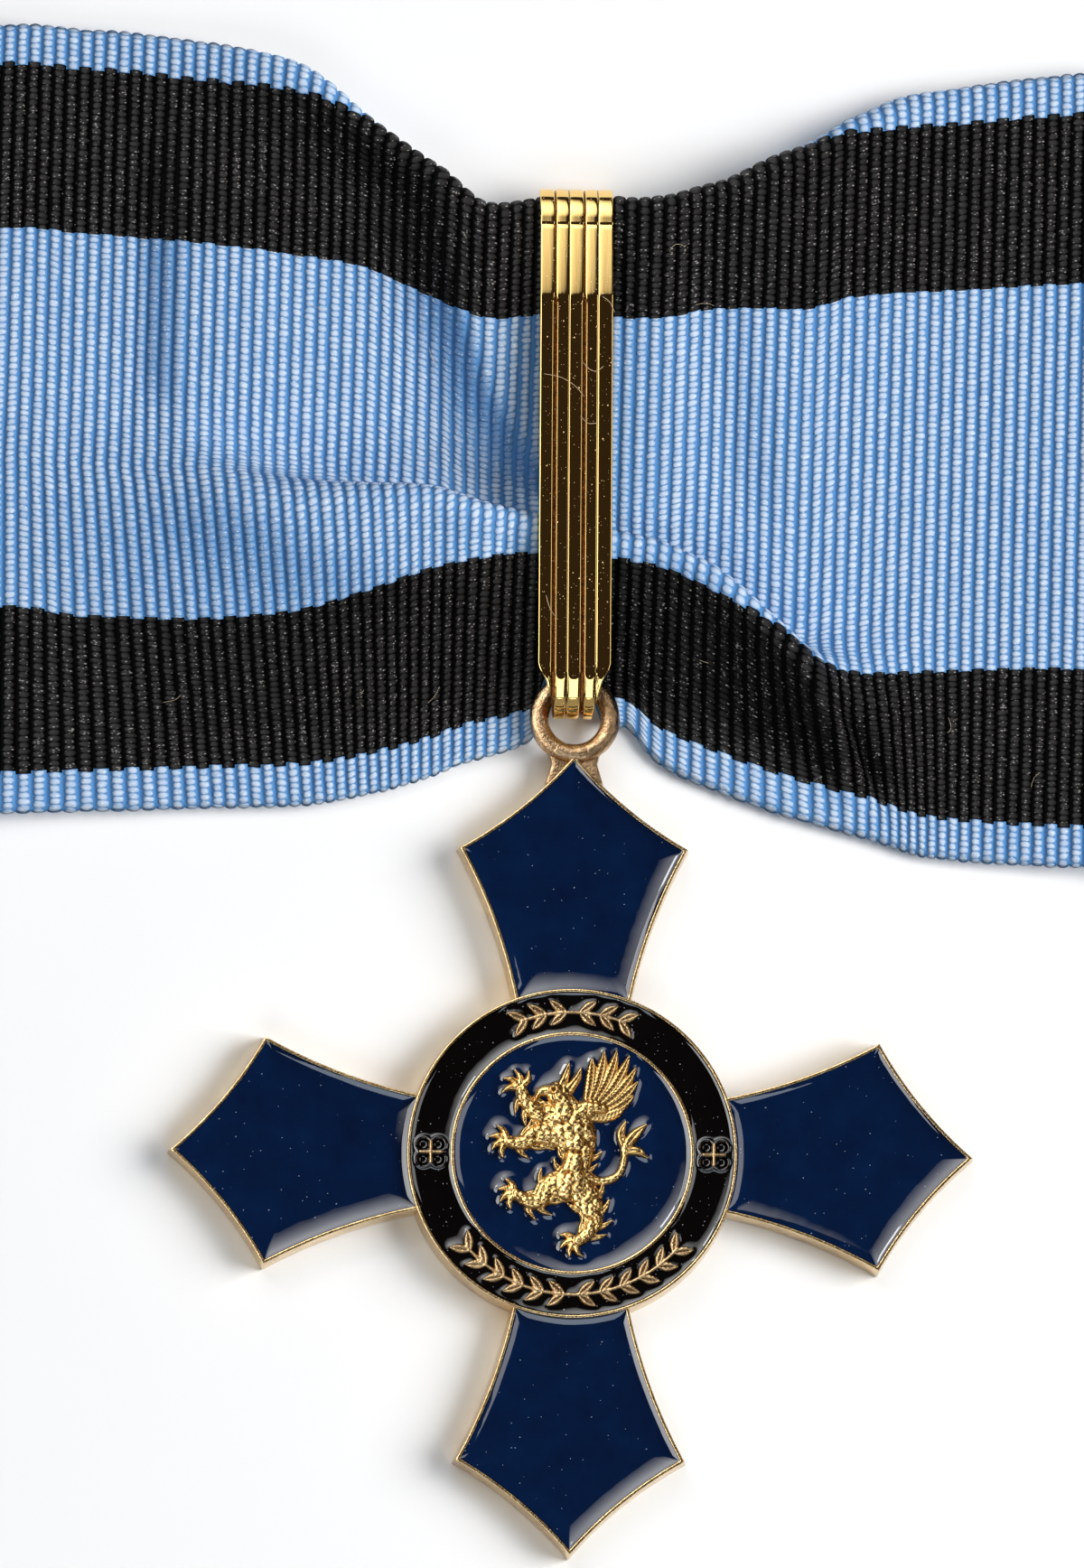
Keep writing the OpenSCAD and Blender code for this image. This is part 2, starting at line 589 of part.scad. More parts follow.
cross();
enamel_arm(0);  // enamel_arm_right
enamel_arm(90);  // enamel_arm_top
enamel_arm(180);  // enamel_arm_left
enamel_arm(270);  // enamel_arm_bottom
enamel_band();
enamel_centre();
clip();
ribbon();
ribbon_snap();
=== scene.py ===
"""The neck badge as a finished scene: cast and enamelled cross, fluted clip and ribbed ribbon.

Lengths are in millimetres until a mesh is made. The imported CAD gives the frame.
"""

from math import atan2, ceil, cos, hypot, pi, radians, sin, sqrt

import bpy
import numpy as np
from mathutils import Matrix, Vector


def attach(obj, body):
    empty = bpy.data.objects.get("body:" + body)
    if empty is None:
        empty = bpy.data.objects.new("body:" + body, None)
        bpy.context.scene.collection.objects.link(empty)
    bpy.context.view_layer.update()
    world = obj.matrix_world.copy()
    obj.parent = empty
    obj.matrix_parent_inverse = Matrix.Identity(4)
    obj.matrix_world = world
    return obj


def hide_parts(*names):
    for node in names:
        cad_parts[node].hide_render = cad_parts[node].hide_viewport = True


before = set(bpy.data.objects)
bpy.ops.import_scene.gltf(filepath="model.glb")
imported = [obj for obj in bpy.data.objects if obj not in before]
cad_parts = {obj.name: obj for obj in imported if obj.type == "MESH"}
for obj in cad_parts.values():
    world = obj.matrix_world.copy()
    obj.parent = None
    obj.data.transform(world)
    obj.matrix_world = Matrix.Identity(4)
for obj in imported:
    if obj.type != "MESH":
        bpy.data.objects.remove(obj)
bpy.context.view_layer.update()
MM = 0.001
WHOLE_TURN = 2 * pi
scene = bpy.context.scene
join = np.concatenate


# Small helpers for numbers, grids and meshes


def ramp(x, start, stop):
    return np.clip((x - start) / (stop - start), 0, 1)


def smooth(t):
    return t * t * (3 - 2 * t)


def ease(x, start, stop):
    return smooth(ramp(x, start, stop))


def bell(x):
    return np.exp(-(x**2))


def dome(t):
    """A quarter round from 0 to 1 as t goes from 0 to 1."""
    return np.sqrt(np.clip(1 - (1 - t) ** 2, 0, 1))


def unit(v):
    return v / np.maximum(np.linalg.norm(v, axis=-1, keepdims=True), 1e-12)


def left_of(p):
    return stacked(-p[..., 1], p[..., 0])


def stacked(*parts):
    """Points from arrays of x, y and height, which may differ in shape."""
    return np.stack(np.broadcast_arrays(*parts), axis=-1)


def around(steps):
    """Angles of a whole turn, without its end."""
    return np.arange(steps) * WHOLE_TURN / steps


def at_angle(degrees):
    return np.array([cos(radians(degrees)), sin(radians(degrees))])


def hashed(a, b):
    """A fixed random value from 0 to 1 for each pair of whole numbers."""
    x = np.sin(a * 127.1 + b * 311.7) * 43758.5453
    return x - np.floor(x)


def value_noise(x, y):
    """Smooth noise from -1 to 1 that changes over about one unit."""
    i, j = np.floor(x), np.floor(y)
    u, v = smooth(x - i), smooth(y - j)
    low = hashed(i, j) * (1 - u) + hashed(i + 1, j) * u
    high = hashed(i, j + 1) * (1 - u) + hashed(i + 1, j + 1) * u
    return 2 * (low * (1 - v) + high * v) - 1


def pebbles(x, y):
    """Rounded bumps from 0 to 1, about one to each unit square."""
    i, j = np.floor(x), np.floor(y)
    near = np.full(x.shape, 9.0)
    for a in (-1, 0, 1):
        for b in (-1, 0, 1):
            middle_x = i + a + 0.2 + 0.6 * hashed(i + a, j + b)
            middle_y = j + b + 0.2 + 0.6 * hashed(i + a + 57, j + b + 13)
            near = np.minimum(near, (x - middle_x) ** 2 + (y - middle_y) ** 2)
    return np.sqrt(np.clip(1 - near / 0.5, 0, 1))


def quads_of(rows, columns, closed=False, start=0, ringed=False):
    """Quads of a grid. Closed joins its last row to the first, ringed its last column."""
    i = np.arange(rows if closed else rows - 1)[:, None]
    j = np.arange(columns if ringed else columns - 1)
    here, there = start + i * columns, start + (i + 1) % rows * columns
    after = (j + 1) % columns
    return stacked(here + j, here + after, there + after, there + j).reshape(-1, 4)


def placed(name, data):
    """A new object in the scene."""
    thing = bpy.data.objects.new(name, data)
    scene.collection.objects.link(thing)
    return thing


def make(name, points, quads, material, triangles=(), uv=None, painted_shade=None):
    """A mesh object from points in millimetres: smooth quads and flat triangles."""
    triangles = np.asarray(triangles, int).reshape(-1, 3)
    loops = join([quads.ravel(), triangles.ravel()])
    sizes = np.repeat([4, 3], [len(quads), len(triangles)])
    mesh = bpy.data.meshes.new(name)
    mesh.vertices.add(points.size // 3)
    mesh.vertices.foreach_set("co", (points * MM).astype(np.float32).ravel())
    mesh.loops.add(len(loops))
    mesh.loops.foreach_set("vertex_index", loops.astype(np.int32))
    mesh.polygons.add(len(sizes))
    mesh.polygons.foreach_set("loop_start", (np.cumsum(sizes) - sizes).astype(np.int32))
    mesh.polygons.foreach_set("use_smooth", sizes == 4)
    mesh.update(calc_edges=True)
    if uv is not None:
        places = uv.reshape(-1, 2)[loops].astype(np.float32)
        mesh.uv_layers.new(name="place").data.foreach_set("uv", places.ravel())
    # a share of painted shade for each vertex, which the materials read
    if painted_shade is not None:
        values = mesh.attributes.new("painted_shade", "FLOAT", "POINT").data
        values.foreach_set("value", painted_shade.astype(np.float32).ravel())
    mesh.validate()
    mesh.materials.append(material)
    piece = placed(name, mesh)
    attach(piece, "root")
    return piece


# Materials


class Value:
    """An output of a material's node. Arithmetic with it adds math nodes."""

    def __init__(self, nodes, socket):
        self.nodes, self.socket = nodes, socket

    def __abs__(self):
        return self.nodes.math("ABSOLUTE", self)


OPERATIONS = {
    "add": "ADD", "sub": "SUBTRACT", "mul": "MULTIPLY", "truediv": "DIVIDE",
    "mod": "FLOORED_MODULO", "pow": "POWER", "lt": "LESS_THAN", "gt": "GREATER_THAN",
}
for sign, operation in OPERATIONS.items():
    act = lambda self, other, operation=operation: self.nodes.math(operation, self, other)
    setattr(Value, "__" + sign + "__", act)


class Nodes:
    """Short names for the nodes of one material."""

    def __init__(self, name):
        self.material = bpy.data.materials.new(name)
        self.material.use_nodes = True
        self.tree = self.material.node_tree

    def put(self, socket, value):
        """Links a socket to a value, or sets it to a number, colour or vector."""
        if isinstance(value, Value):
            self.tree.links.new(value.socket, socket)
        elif socket.type == "RGBA":
            socket.default_value = (*value, 1)
        else:
            socket.default_value = value

    def add(self, kind, inputs, **settings):
        """A node with some inputs given, by name or number. Gives the values of its outputs."""
        node = self.tree.nodes.new("ShaderNode" + kind)
        for key, setting in settings.items():
            setattr(node, key, setting)
        for key, value in inputs.items():
            self.put(node.inputs[key], value)
        return [Value(self, socket) for socket in node.outputs]

    def math(self, operation, *values, clamp=False):
        return self.add("Math", dict(enumerate(values)), operation=operation, use_clamp=clamp)[0]

    def mix(self, share, a, b):
        return self.add("Mix", {0: share, 6: a, 7: b}, data_type="RGBA")[2]

    def position(self, scale=(1, 1, 1), turn=(0, 0, 0)):
        """The place on the object in millimetres, stretched."""
        place = self.add("TexCoord", {})[3]
        scale = tuple(k / MM for k in scale)
        return self.add("Mapping", {"Vector": place, "Scale": scale, "Rotation": turn})[0]

    def stretched(self, place, by):
        return self.add("VectorMath", {0: place, 1: by}, operation="MULTIPLY")[0]

    def painted_shade(self):
        """The share of painted shade that each vertex carries."""
        return self.add("Attribute", {}, attribute_name="painted_shade")[2]

    def noise(self, where, scale, detail=3.0, roughness=0.5):
        inputs = {"Vector": where, "Scale": scale, "Detail": detail, "Roughness": roughness}
        return self.add("TexNoise", inputs)[0]

    def specks(self, where, scale, share, radius):
        """Small round dots: a share of the cells holds one, up to that radius."""
        distance, colour = self.add("TexVoronoi", {"Vector": where, "Scale": scale}, feature="F1")[:2]
        chosen, size, _ = self.add("SeparateColor", {0: colour})
        return (chosen < share) * (distance < size * radius)

    def bump(self, height, distance, strength):
        inputs = {"Height": height, "Distance": distance * MM, "Strength": strength}
        return self.add("Bump", inputs)[0]

    def finish(self, **inputs):
        """Gives the shader its inputs, and the material."""
        shader = self.tree.nodes["Principled BSDF"]
        for name, value in inputs.items():
            self.put(shader.inputs[name.replace("_", " ")], value)
        return self.material


RIB, THREAD = 0.73, 0.366
BAND_W = 45.0
STRIPE_IN, STRIPE_OUT = 10.95, 20.4


def weave_material():
    """Ribbed ribbon: every thread shows as a small pale bead on each rib, blue or black; the bead's paleness
    is partly a painted highlight.
    """
    n = Nodes("ribbon weave")
    place = n.add("UVMap", {}, uv_map="place")[0]
    s, v, _ = n.add("SeparateXYZ", {0: place})
    wander = n.add("TexNoise", {"Vector": place, "Scale": 1.4})[1]
    aside, up_down, _ = n.add("SeparateColor", {0: wander})
    rib_place = s / RIB
    rib = n.math("FLOOR", rib_place)
    in_rib = n.math("FRACT", rib_place) * 2 - 1 + (aside * 0.5 - 0.25)
    odd = rib % 2 * 0.5
    thread_place = v / THREAD + (odd + (up_down * 0.6 - 0.3))
    thread = n.math("FLOOR", thread_place)
    in_thread = n.math("FRACT", thread_place) * 2 - 1
    # the stripes' borders follow the threads for the most part
    dyed = (thread + 0.5 - odd) * (THREAD * 0.7) + v * 0.3
    from_middle = abs(dyed - BAND_W / 2)
    black = (from_middle > STRIPE_IN) * (from_middle < STRIPE_OUT)

    # the bead of each thread: how wide and how bright it is differs a little
    pair = n.add("CombineXYZ", {0: rib, 1: thread})[0]
    random = n.add("TexWhiteNoise", {"Vector": pair}, noise_dimensions="2D")[1]
    width, brightness, _ = n.add("SeparateColor", {0: random})
    from_crest = (abs(in_rib) / (width * 0.18 + 0.7)) ** 2.2
    from_core = abs(in_thread) ** 2.3 * 0.82
    oval = n.math("SUBTRACT", 1.0, from_crest + from_core, clamp=True)
    filaments = n.noise(n.stretched(place, (3.0, 26.0, 1.0)), 1.0, 2.0)
    each = brightness * 0.3 + 0.44 + filaments * 0.7
    # lit is how pale each bead is painted: partly the yarn's own pale colour, partly a painted highlight of
    # its sheen; the deeper colour between beads is painted shade, and the marked slopes get more painted
    # shade
    lit = n.math("MULTIPLY", oval**0.75, each, clamp=True) * (n.painted_shade() * -0.75 + 1)
    blue = n.mix(lit, (0.095, 0.265, 0.555), (0.57, 0.68, 0.83))
    dark = n.mix(lit, (0.0005, 0.0005, 0.0006), (0.0175, 0.0162, 0.0158))
    colour = n.mix(black, blue, dark)

    # single fibres get painted glints, and specks of lint lie on the weave
    wide = n.stretched(place, (1.0, 1.8, 1.0))
    glint = n.specks(wide, 5.5, 0.65, 0.4) * oval**0.5
    colour = n.mix(glint * 0.8, colour, n.mix(black, (0.78, 0.86, 0.96), (0.36, 0.345, 0.33)))
    colour = n.mix(n.specks(wide, 2.6, 0.1, 0.12) * 0.5, colour, (0.55, 0.54, 0.53))
    normal = n.bump(oval**0.55 + filaments * 0.35, 0.1, 0.9)
    gloss = lit * 0.3 + 0.03
    return n.finish(Base_Color=colour, Roughness=0.55, Specular_IOR_Level=gloss, Normal=normal)


def cast_gold(name, bright, dull, rough, grain, coarse=0.25, painted_hollow_shade=False):
    """Plated cast metal with a grainy skin and duller patches; where asked, painted shade in dark brown over
    the relief's marked hollows.
    """
    n = Nodes(name)
    place = n.position()
    pits = n.noise(place, 9.0, 3.0, 0.65)
    colour = n.mix(n.noise(place, 0.9, 4.0, 0.6) * 1.6 - 0.45, bright, dull)
    colour = n.mix(pits * 2.4 - 1.15, colour, dull)
    # painted shade: dark brown where the relief marks its hollows, its steep sides and its foot
    if painted_hollow_shade:
        colour = n.mix(n.painted_shade() * 0.85, colour, (0.09, 0.038, 0.012))
    normal = n.bump(pits, grain, 0.8)
    return n.finish(Metallic=1.0, Base_Color=colour, Roughness=pits * coarse + rough, Normal=normal)


def polished_gold(grooves, head):
    """The clip's mirror gilding: dark brown in the wide grooves, painted shade in the thin ones, fine
    scratches and dust.
    """
    n = Nodes("polished gilt")
    place = n.position()
    across, along, _ = n.add("SeparateXYZ", {0: place})
    in_wide_groove, thin_groove_shade = 0.0, 0.0
    for middle, half_width in grooves:
        off = abs(across - middle)
        if half_width > WIDE_GROOVE:
            half = (along > head) * (0.05 - half_width) + half_width
            in_wide_groove = n.math("MAXIMUM", in_wide_groove, off < half)
        else:
            thin_groove_shade = n.math("MAXIMUM", thin_groove_shade, off < half_width)
    wide_groove_brown = in_wide_groove * 0.98
    brown_mottle = n.noise(place, 6.0, 4.0, 0.8) * 4 - 1.6
    colour = n.mix(n.noise(place, 0.35), (0.98, 0.7, 0.26), (0.88, 0.56, 0.18))
    colour = n.mix(wide_groove_brown, colour, n.mix(brown_mottle, (0.040, 0.009, 0.002), (0.26, 0.075, 0.014)))
    # painted shade: the thin grooves are painted dark
    colour = n.mix(thin_groove_shade * 0.8, colour, (0.09, 0.065, 0.03))
    fine_dust = n.specks(n.position((1.3, 1.3, 1.3)), 6.0, 0.5, 0.22)
    dust = n.math("MAXIMUM", n.specks(place, 3.1, 0.5, 0.16), fine_dust)
    colour = n.mix(dust * 0.8, colour, (0.95, 0.72, 0.42))
    scratches = n.noise(n.position((7.0, 0.35, 1.0), (0, 0, 0.05)), 1.0, 2.0, 0.7)
    dull = n.math("MAXIMUM", dust * 0.55, wide_groove_brown * 0.3)
    roughness = n.noise(place, 1.4) * 0.06 + 0.005 + dull
    normal = n.bump(scratches + dust * 2.5, 0.005, 0.6)
    return n.finish(Metallic=1.0, Base_Color=colour, Roughness=roughness, Normal=normal)


def enamel(name, deep, light, dusty):
    """Glossy soft enamel with slow waves and round specks of dust."""
    n = Nodes(name)
    place = n.position()
    colour = n.mix(n.noise(place, 0.5, 4.0, 0.55) * 1.8 - 0.4, deep, light)
    fine = n.specks(n.position((1.0, 1.2, 1.0)), 4.2, dusty, 0.17)
    spots = n.math("MAXIMUM", n.specks(place, 1.7, dusty * 0.6, 0.09), fine)
    colour = n.mix(spots * 0.36, colour, (0.62, 0.7, 0.82))
    roughness = n.noise(place, 0.8) * 0.06 + 0.01
    normal = n.bump(n.noise(place, 0.42, 2.0, 0.4), 0.05, 0.6)
    gloss = {"Specular_IOR_Level": 0.85, "IOR": 1.52, "Roughness": roughness}
    return n.finish(Base_Color=colour, Normal=normal, **gloss)


WIDE_GROOVE = 0.08
gilt = cast_gold("cast gilt", (1.0, 0.76, 0.40), (0.42, 0.25, 0.10), 0.1, 0.025, 0.16)
rose_gilt = cast_gold("eyelet gilt", (0.78, 0.53, 0.30), (0.15, 0.075, 0.032), 0.05, 0.05, 0.14)
relief_gilt = cast_gold("relief gilt", (1.0, 0.68, 0.27), (0.55, 0.3, 0.09), 0.09, 0.02, painted_hollow_shade=True)
dark_gilt = cast_gold("ornament gilt", (0.86, 0.62, 0.34), (0.38, 0.23, 0.10), 0.2, 0.02, painted_hollow_shade=True)
navy = enamel("navy enamel", (0.0003, 0.006, 0.030), (0.0007, 0.012, 0.052), 0.16)
ink = enamel("black enamel", (0.0004, 0.0004, 0.0005), (0.0012, 0.0012, 0.0014), 0.6)
weave = weave_material()


# The ribbon

SIDE_LEN = 154.0
BAND_TURN = radians(-1.05)
BAND_X, BAND_Y = -0.5, 40.0
FOLD_TURN, FOLD_R = radians(60), 0.6
CORNER_S = SIDE_LEN / 2
APEX_S = CORNER_S + SIDE_LEN
FRONT_Z, LIFT_MAX = 1.7, 2.6
ROLL_LEN, FLAT_EDGE = 1.8, 3.6
GATHER_S, GATHER_UP, GATHER_LIFT = 0.7, 6.2, 0.52
RIDGE_S, RIDGE_V, DIP_DEEP, DIP_LEN = -6.6, 10.9, 1.6, 1.9
SWELL_S, SWELL_HIGH = -23.6, 0.85
SINK, STRETCH = 0.65, 1.2
TOP_S, TOP_BY = -11.5, 1.3
LEAN_LEFT, LEAN_RIGHT = 2.2, 1.6
HOLLOW_S, HOLLOW_DEEP = 8.5, 0.45
CREASE_S, CREASE_HIGH = 14.2, 0.4

# Sections across the gathered front: place along, height of the bottom edge, where the top edge
# rolls under and how far, the pleat's turn, crest, depth and softness, the heights of the upper
# half, the valley and the lower edge, and how far the upper and the lower half are shifted
SECTIONS = np.array([
    [-46, 17.5, 1.1, 0, 0, 24.5, 5.2, 5.0, 1.7, 1.7, 1.7, 0, 0],
    [-36, 18.4, 1.1, 0, 2, 24.5, 5.2, 5.0, 1.75, 1.6, 1.4, -0.2, -0.5],
    [-29, 19.0, 1.1, 4, 12, 25.2, 4.8, 4.6, 1.8, 1.1, 0.9, -0.35, -0.65],
    [-22, 19.5, 1.1, 14, 38, 26.2, 4.0, 3.4, 2.3, 0.75, 0.65, -0.5, -1.0],
    [-17, 19.8, 1.1, 55, 68, 26.8, 3.3, 2.5, 3.2, 0.7, 0.65, 0, -0.7],
    [-12, 20.6, 2.0, 125, 102, 27.7, 3.1, 2.2, 3.8, 0.75, 0.65, 0.3, 0],
    [-8, 21.5, 4.0, 162, 138, 28.8, 3.2, 2.0, 3.7, 0.9, 0.62, -0.2, 0.5],
    [-5, 22.3, 4.9, 178, 166, 30.2, 3.6, 1.9, 3.45, 1.18, 0.6, -0.6, 0.4],
    [-3, 22.5, 4.8, 180, 180, 30.9, 3.7, 1.8, 3.1, 1.22, 0.6, -0.3, 0.45],
    [0, 22.7, 4.6, 180, 180, 31.5, 3.7, 1.8, 3.02, 1.22, 0.6, -0.2, 0.4],
    [3, 22.5, 4.6, 180, 180, 31.9, 3.7, 1.8, 3.5, 1.22, 0.6, -0.15, 0.4],
    [5, 22.2, 4.5, 180, 178, 32.0, 3.5, 1.8, 3.8, 1.18, 0.6, -0.2, 0.4],
    [8, 21.45, 4.3, 172, 166, 32.1, 2.8, 1.9, 3.75, 0.95, 0.62, -0.4, 0.05],
    [12, 20.0, 2.6, 145, 128, 33.1, 2.4, 2.1, 3.3, 0.8, 0.65, -0.5, -0.5],
    [16, 18.9, 1.4, 112, 44, 34.2, 3.2, 3.0, 2.5, 0.75, 0.65, -1.0, -1.45],
    [21, 17.9, 0.5, 60, 6, 34.6, 4.0, 3.8, 1.8, 0.8, 0.65, -0.7, -0.5],
    [29, 17.6, 0.8, 8, 0, 34.4, 5.0, 4.8, 1.7, 1.2, 1.0, -0.2, 0.2],
    [36, 17.6, 1.1, 0, 0, 34.0, 5.2, 5.0, 1.75, 1.6, 1.4, 0, 0.1],
    [46, 17.5, 1.1, 0, 0, 34.0, 5.2, 5.0, 1.7, 1.7, 1.7, 0, 0],
])


def row_slopes():
    """Slopes of each column that never overshoot between two rows."""
    secant = np.diff(SECTIONS, axis=0) / np.diff(SECTIONS[:, :1], axis=0)
    slopes = np.zeros_like(SECTIONS)
    a, b = secant[:-1], secant[1:]
    same = a * b > 0
    slopes[1:-1] = np.where(same, 2 * a * b / np.where(same, a + b, 1), 0)
    return slopes


SLOPES = row_slopes()


def rows_at(s):
    """The sections' values at places along, each as one column."""
    x = SECTIONS[:, 0]
    i = np.clip(np.searchsorted(x, s, side="right") - 1, 0, len(x) - 2)
    w = (x[i + 1] - x[i])[:, None]
    t = np.clip((s - x[i])[:, None] / w, 0, 1)
    rows = SECTIONS[i] + (SECTIONS[i + 1] - SECTIONS[i]) * smooth(t)
    rows += (SLOPES[i] * (1 - t) - SLOPES[i + 1] * t) * t * (1 - t) * w
    return rows.T[:, :, None]


def leans(v, roll_v, roll, pleat, crest, deep, soft, z_top, z_valley, z_low):
    """How steeply the ribbon falls towards its bottom edge, in radians."""
    roll, pleat, half, under = np.radians(roll), np.radians(pleat), soft / 2, crest - deep
    roll_end, low_end = roll_v + ROLL_LEN / 2, BAND_W - FLAT_EDGE
    turn = np.maximum(pleat, radians(0.1))
    rise = 2 * soft * (1 - np.cos(turn)) / turn + (deep - soft) * np.sin(turn)
    upper = np.arcsin((z_top - z_valley) / (under - half - roll_end))
    lower = np.arcsin((z_valley + rise - z_low) / (low_end - crest - half))

    def between(start, stop, soft_half):
        """From 0 to 1 about one place across, and back about another."""
        rising = ramp(v, start - soft_half, start + soft_half)
        return rising - ramp(v, stop - soft_half, stop + soft_half)

    rolled = roll * (1 - ramp(v, roll_end - ROLL_LEN, roll_end))
    falling = upper * between(roll_end, under - half, 1) + lower * between(crest + half, low_end, 1)
    return rolled + pleat * between(under, crest, half) - falling


def folds(s, v):
    """Slack in the front: heights that the sections don't hold."""
    upper = ease(v, 1, 7) * (1 - ease(v, 20.5, 25.5))
    # left of the clip the front climbs to a slanting ridge, beyond which it lies level
    ridge = RIDGE_S + 0.36 * (v - RIDGE_V) + 0.019 * (v - RIDGE_V) ** 2
    before = (ridge - s + np.sqrt((ridge - s) ** 2 + 0.16)) / 2
    dip = DIP_DEEP * (1 - np.exp(-before / DIP_LEN)) * bell(before / 8.5)
    # further left it steps up from the level part, along a line that turns in under the pleat
    step = SWELL_S + 0.066 * np.maximum(v - 21, 0) ** 2
    soft = 0.3 * np.maximum(v - 19, 0)
    swell = ease(s, step - 1.3 - soft, step + 1.7 + soft) * (1 - ease(s, step + 1, step + 11))
    swell = SWELL_HIGH * swell * ease(v, 2, 9) * (1 - ease(v, 30, 38))
    # right of the clip a shallow hollow, and a crease in the lower stripe
    hollow = HOLLOW_DEEP * bell((s - HOLLOW_S - 0.1 * (v - 14)) / 2.2)
    line = (s - CREASE_S - 0.16 * (v - 38)) / 0.9
    crease = CREASE_HIGH * (bell(line) - 0.8 * bell(line - 1.8))
    return swell - (dip + hollow) * upper + crease * ramp(v, 33, 37) * (1 - ramp(v, 41, 44))


def gather(s):
    """Share of the full pull towards the clip: whole under it, less beside it."""
    away = np.abs(s - GATHER_S)
    left = (1 - ramp(away, 7, 16)) / (1 + away**1.5)
    right = 0.39 / (1 + (np.maximum(away - 3, 0) / 1.3) ** 2) * (1 - ramp(away, 9, 16))
    return np.maximum(1 - ease(away, 0.95, 2.1), np.where(s < GATHER_S, left, right))


def front_middle(s, v):
    """The middle surface of the gathered front, as a grid of points."""
    _, low_y, *form, upper_by, lower_by = rows_at(s)
    lean = leans(v, *form)
    lean = (lean[:, 1:] + lean[:, :-1]) / 2
    y, z = np.zeros((2, len(s), len(v)))
    # summed up from the bottom edge
    y[:, :-1] = np.cumsum((np.cos(lean) * np.diff(v))[:, ::-1], axis=1)[:, ::-1]
    z[:, :-1] = -np.cumsum((np.sin(lean) * np.diff(v))[:, ::-1], axis=1)[:, ::-1]
    s = s[:, None]
    y += low_y + GATHER_UP * gather(s) * ramp(v, 34, BAND_W) ** 1.8
    z += form[-1] + GATHER_LIFT * (1 - ramp(np.abs(s - GATHER_S), 1.25, 1.75)) * ramp(v, 34, 40)
    # right of the clip the lower stripe leans and the upper half lies flatter
    y += STRETCH * ease(s, 14, 30) * (1 - ramp(v, 0, 30)) - SINK * ease(s, 9, 18) * (1 - ease(v, 33.5, 43))
    # the slack shifts both halves a little up or down, apart from the ends
    lower = ease(v, 14, 30)
    shift = upper_by * (1 - lower) + lower_by * lower * (1 - ease(v, 34, 43))
    y += (1 - ease(np.abs(s), 28, 31.7)) * shift
    y -= TOP_BY * bell((s - TOP_S) / 2.8) * (1 - ramp(v, 2, 10))
    z += folds(s, v)
    # below the pleat the ribs lean, their lower ends towards the right
    left = LEAN_LEFT * ease(s, -36, -22) * (1 - ease(s, -18, -2)) * ramp(v, 25, BAND_W) ** 0.8
    right = LEAN_RIGHT * bell((s - 15.5) / 5) * ease(v, 31, BAND_W)
    return stacked(s + left + right, y, z)


def side_middle(s, v):
    """The middle surface past the front, folded under at the corner."""
    side, along, w = np.where(s < 0, -1.0, 1.0)[:, None], np.abs(s)[:, None], BAND_W / 2 - v
    line_x, line_y = cos(FOLD_TURN), sin(FOLD_TURN)
    past = (along - CORNER_S) * line_y - w * line_x
    foot = (along - CORNER_S) * line_x + w * line_y
    turn = np.clip(past / FOLD_R, 0, pi)
    out = np.where(past <= 0, past, FOLD_R * np.sin(turn) - np.maximum(past - pi * FOLD_R, 0))
    lift = LIFT_MAX * ease(s, APEX_S - 62, APEX_S - 16)[:, None]
    z = FRONT_Z + FOLD_R * (np.cos(turn) - 1) + lift
    return stacked(side * (foot * line_x + line_y * out + CORNER_S), foot * line_y - line_x * out + BAND_Y, z)


def to_cross(p):
    """From the band's own frame to the cross's."""
    x, y = p[..., 0], p[..., 1] - BAND_Y
    c, s = cos(BAND_TURN), sin(BAND_TURN)
    return stacked(c * x - s * y + BAND_X, s * x + c * y + BAND_Y, p[..., 2])


CORE, RIB_HIGH = 0.22, 0.17
EDGE_OUT = 0.25
PAINTED_LIGHT_FROM = np.array([0.85, 0.65, 0.0])


def rib_height(s, v):
    """Height of the ribs, from 0 to 1, a little uneven along each."""
    rib_place = s[:, None] / RIB
    rib = np.floor(rib_place + 1e-6)
    in_rib = 2 * (rib_place - rib) - 1
    crest = np.clip(1 - np.abs(in_rib) ** 2.4, 0, 1) ** 0.6
    return crest * (1 + 0.12 * value_noise(v / 3, rib / 1.7))


def slab_caps(rows, top, low):
    """Flat triangles that close a slab of ringed sections at both ends.

    Each section runs along the top, over a rim, back along the underside and over a rim."""
    ring, every = top + low + 2, (top - 1) // (low - 1)
    high, under = np.arange(top), top + low - np.arange(low)
    j, q = np.arange(top - 1), np.arange(low - 1)
    first = join([
        stacked(high[:-1], under[j // every], high[1:]),
        stacked(high[(q + 1) * every], under[:-1], under[1:]),
        [[0, ring - 1, under[0]], [top - 1, under[-1], top]],
    ])
    return join([first, first[:, ::-1] + (rows - 1) * ring])


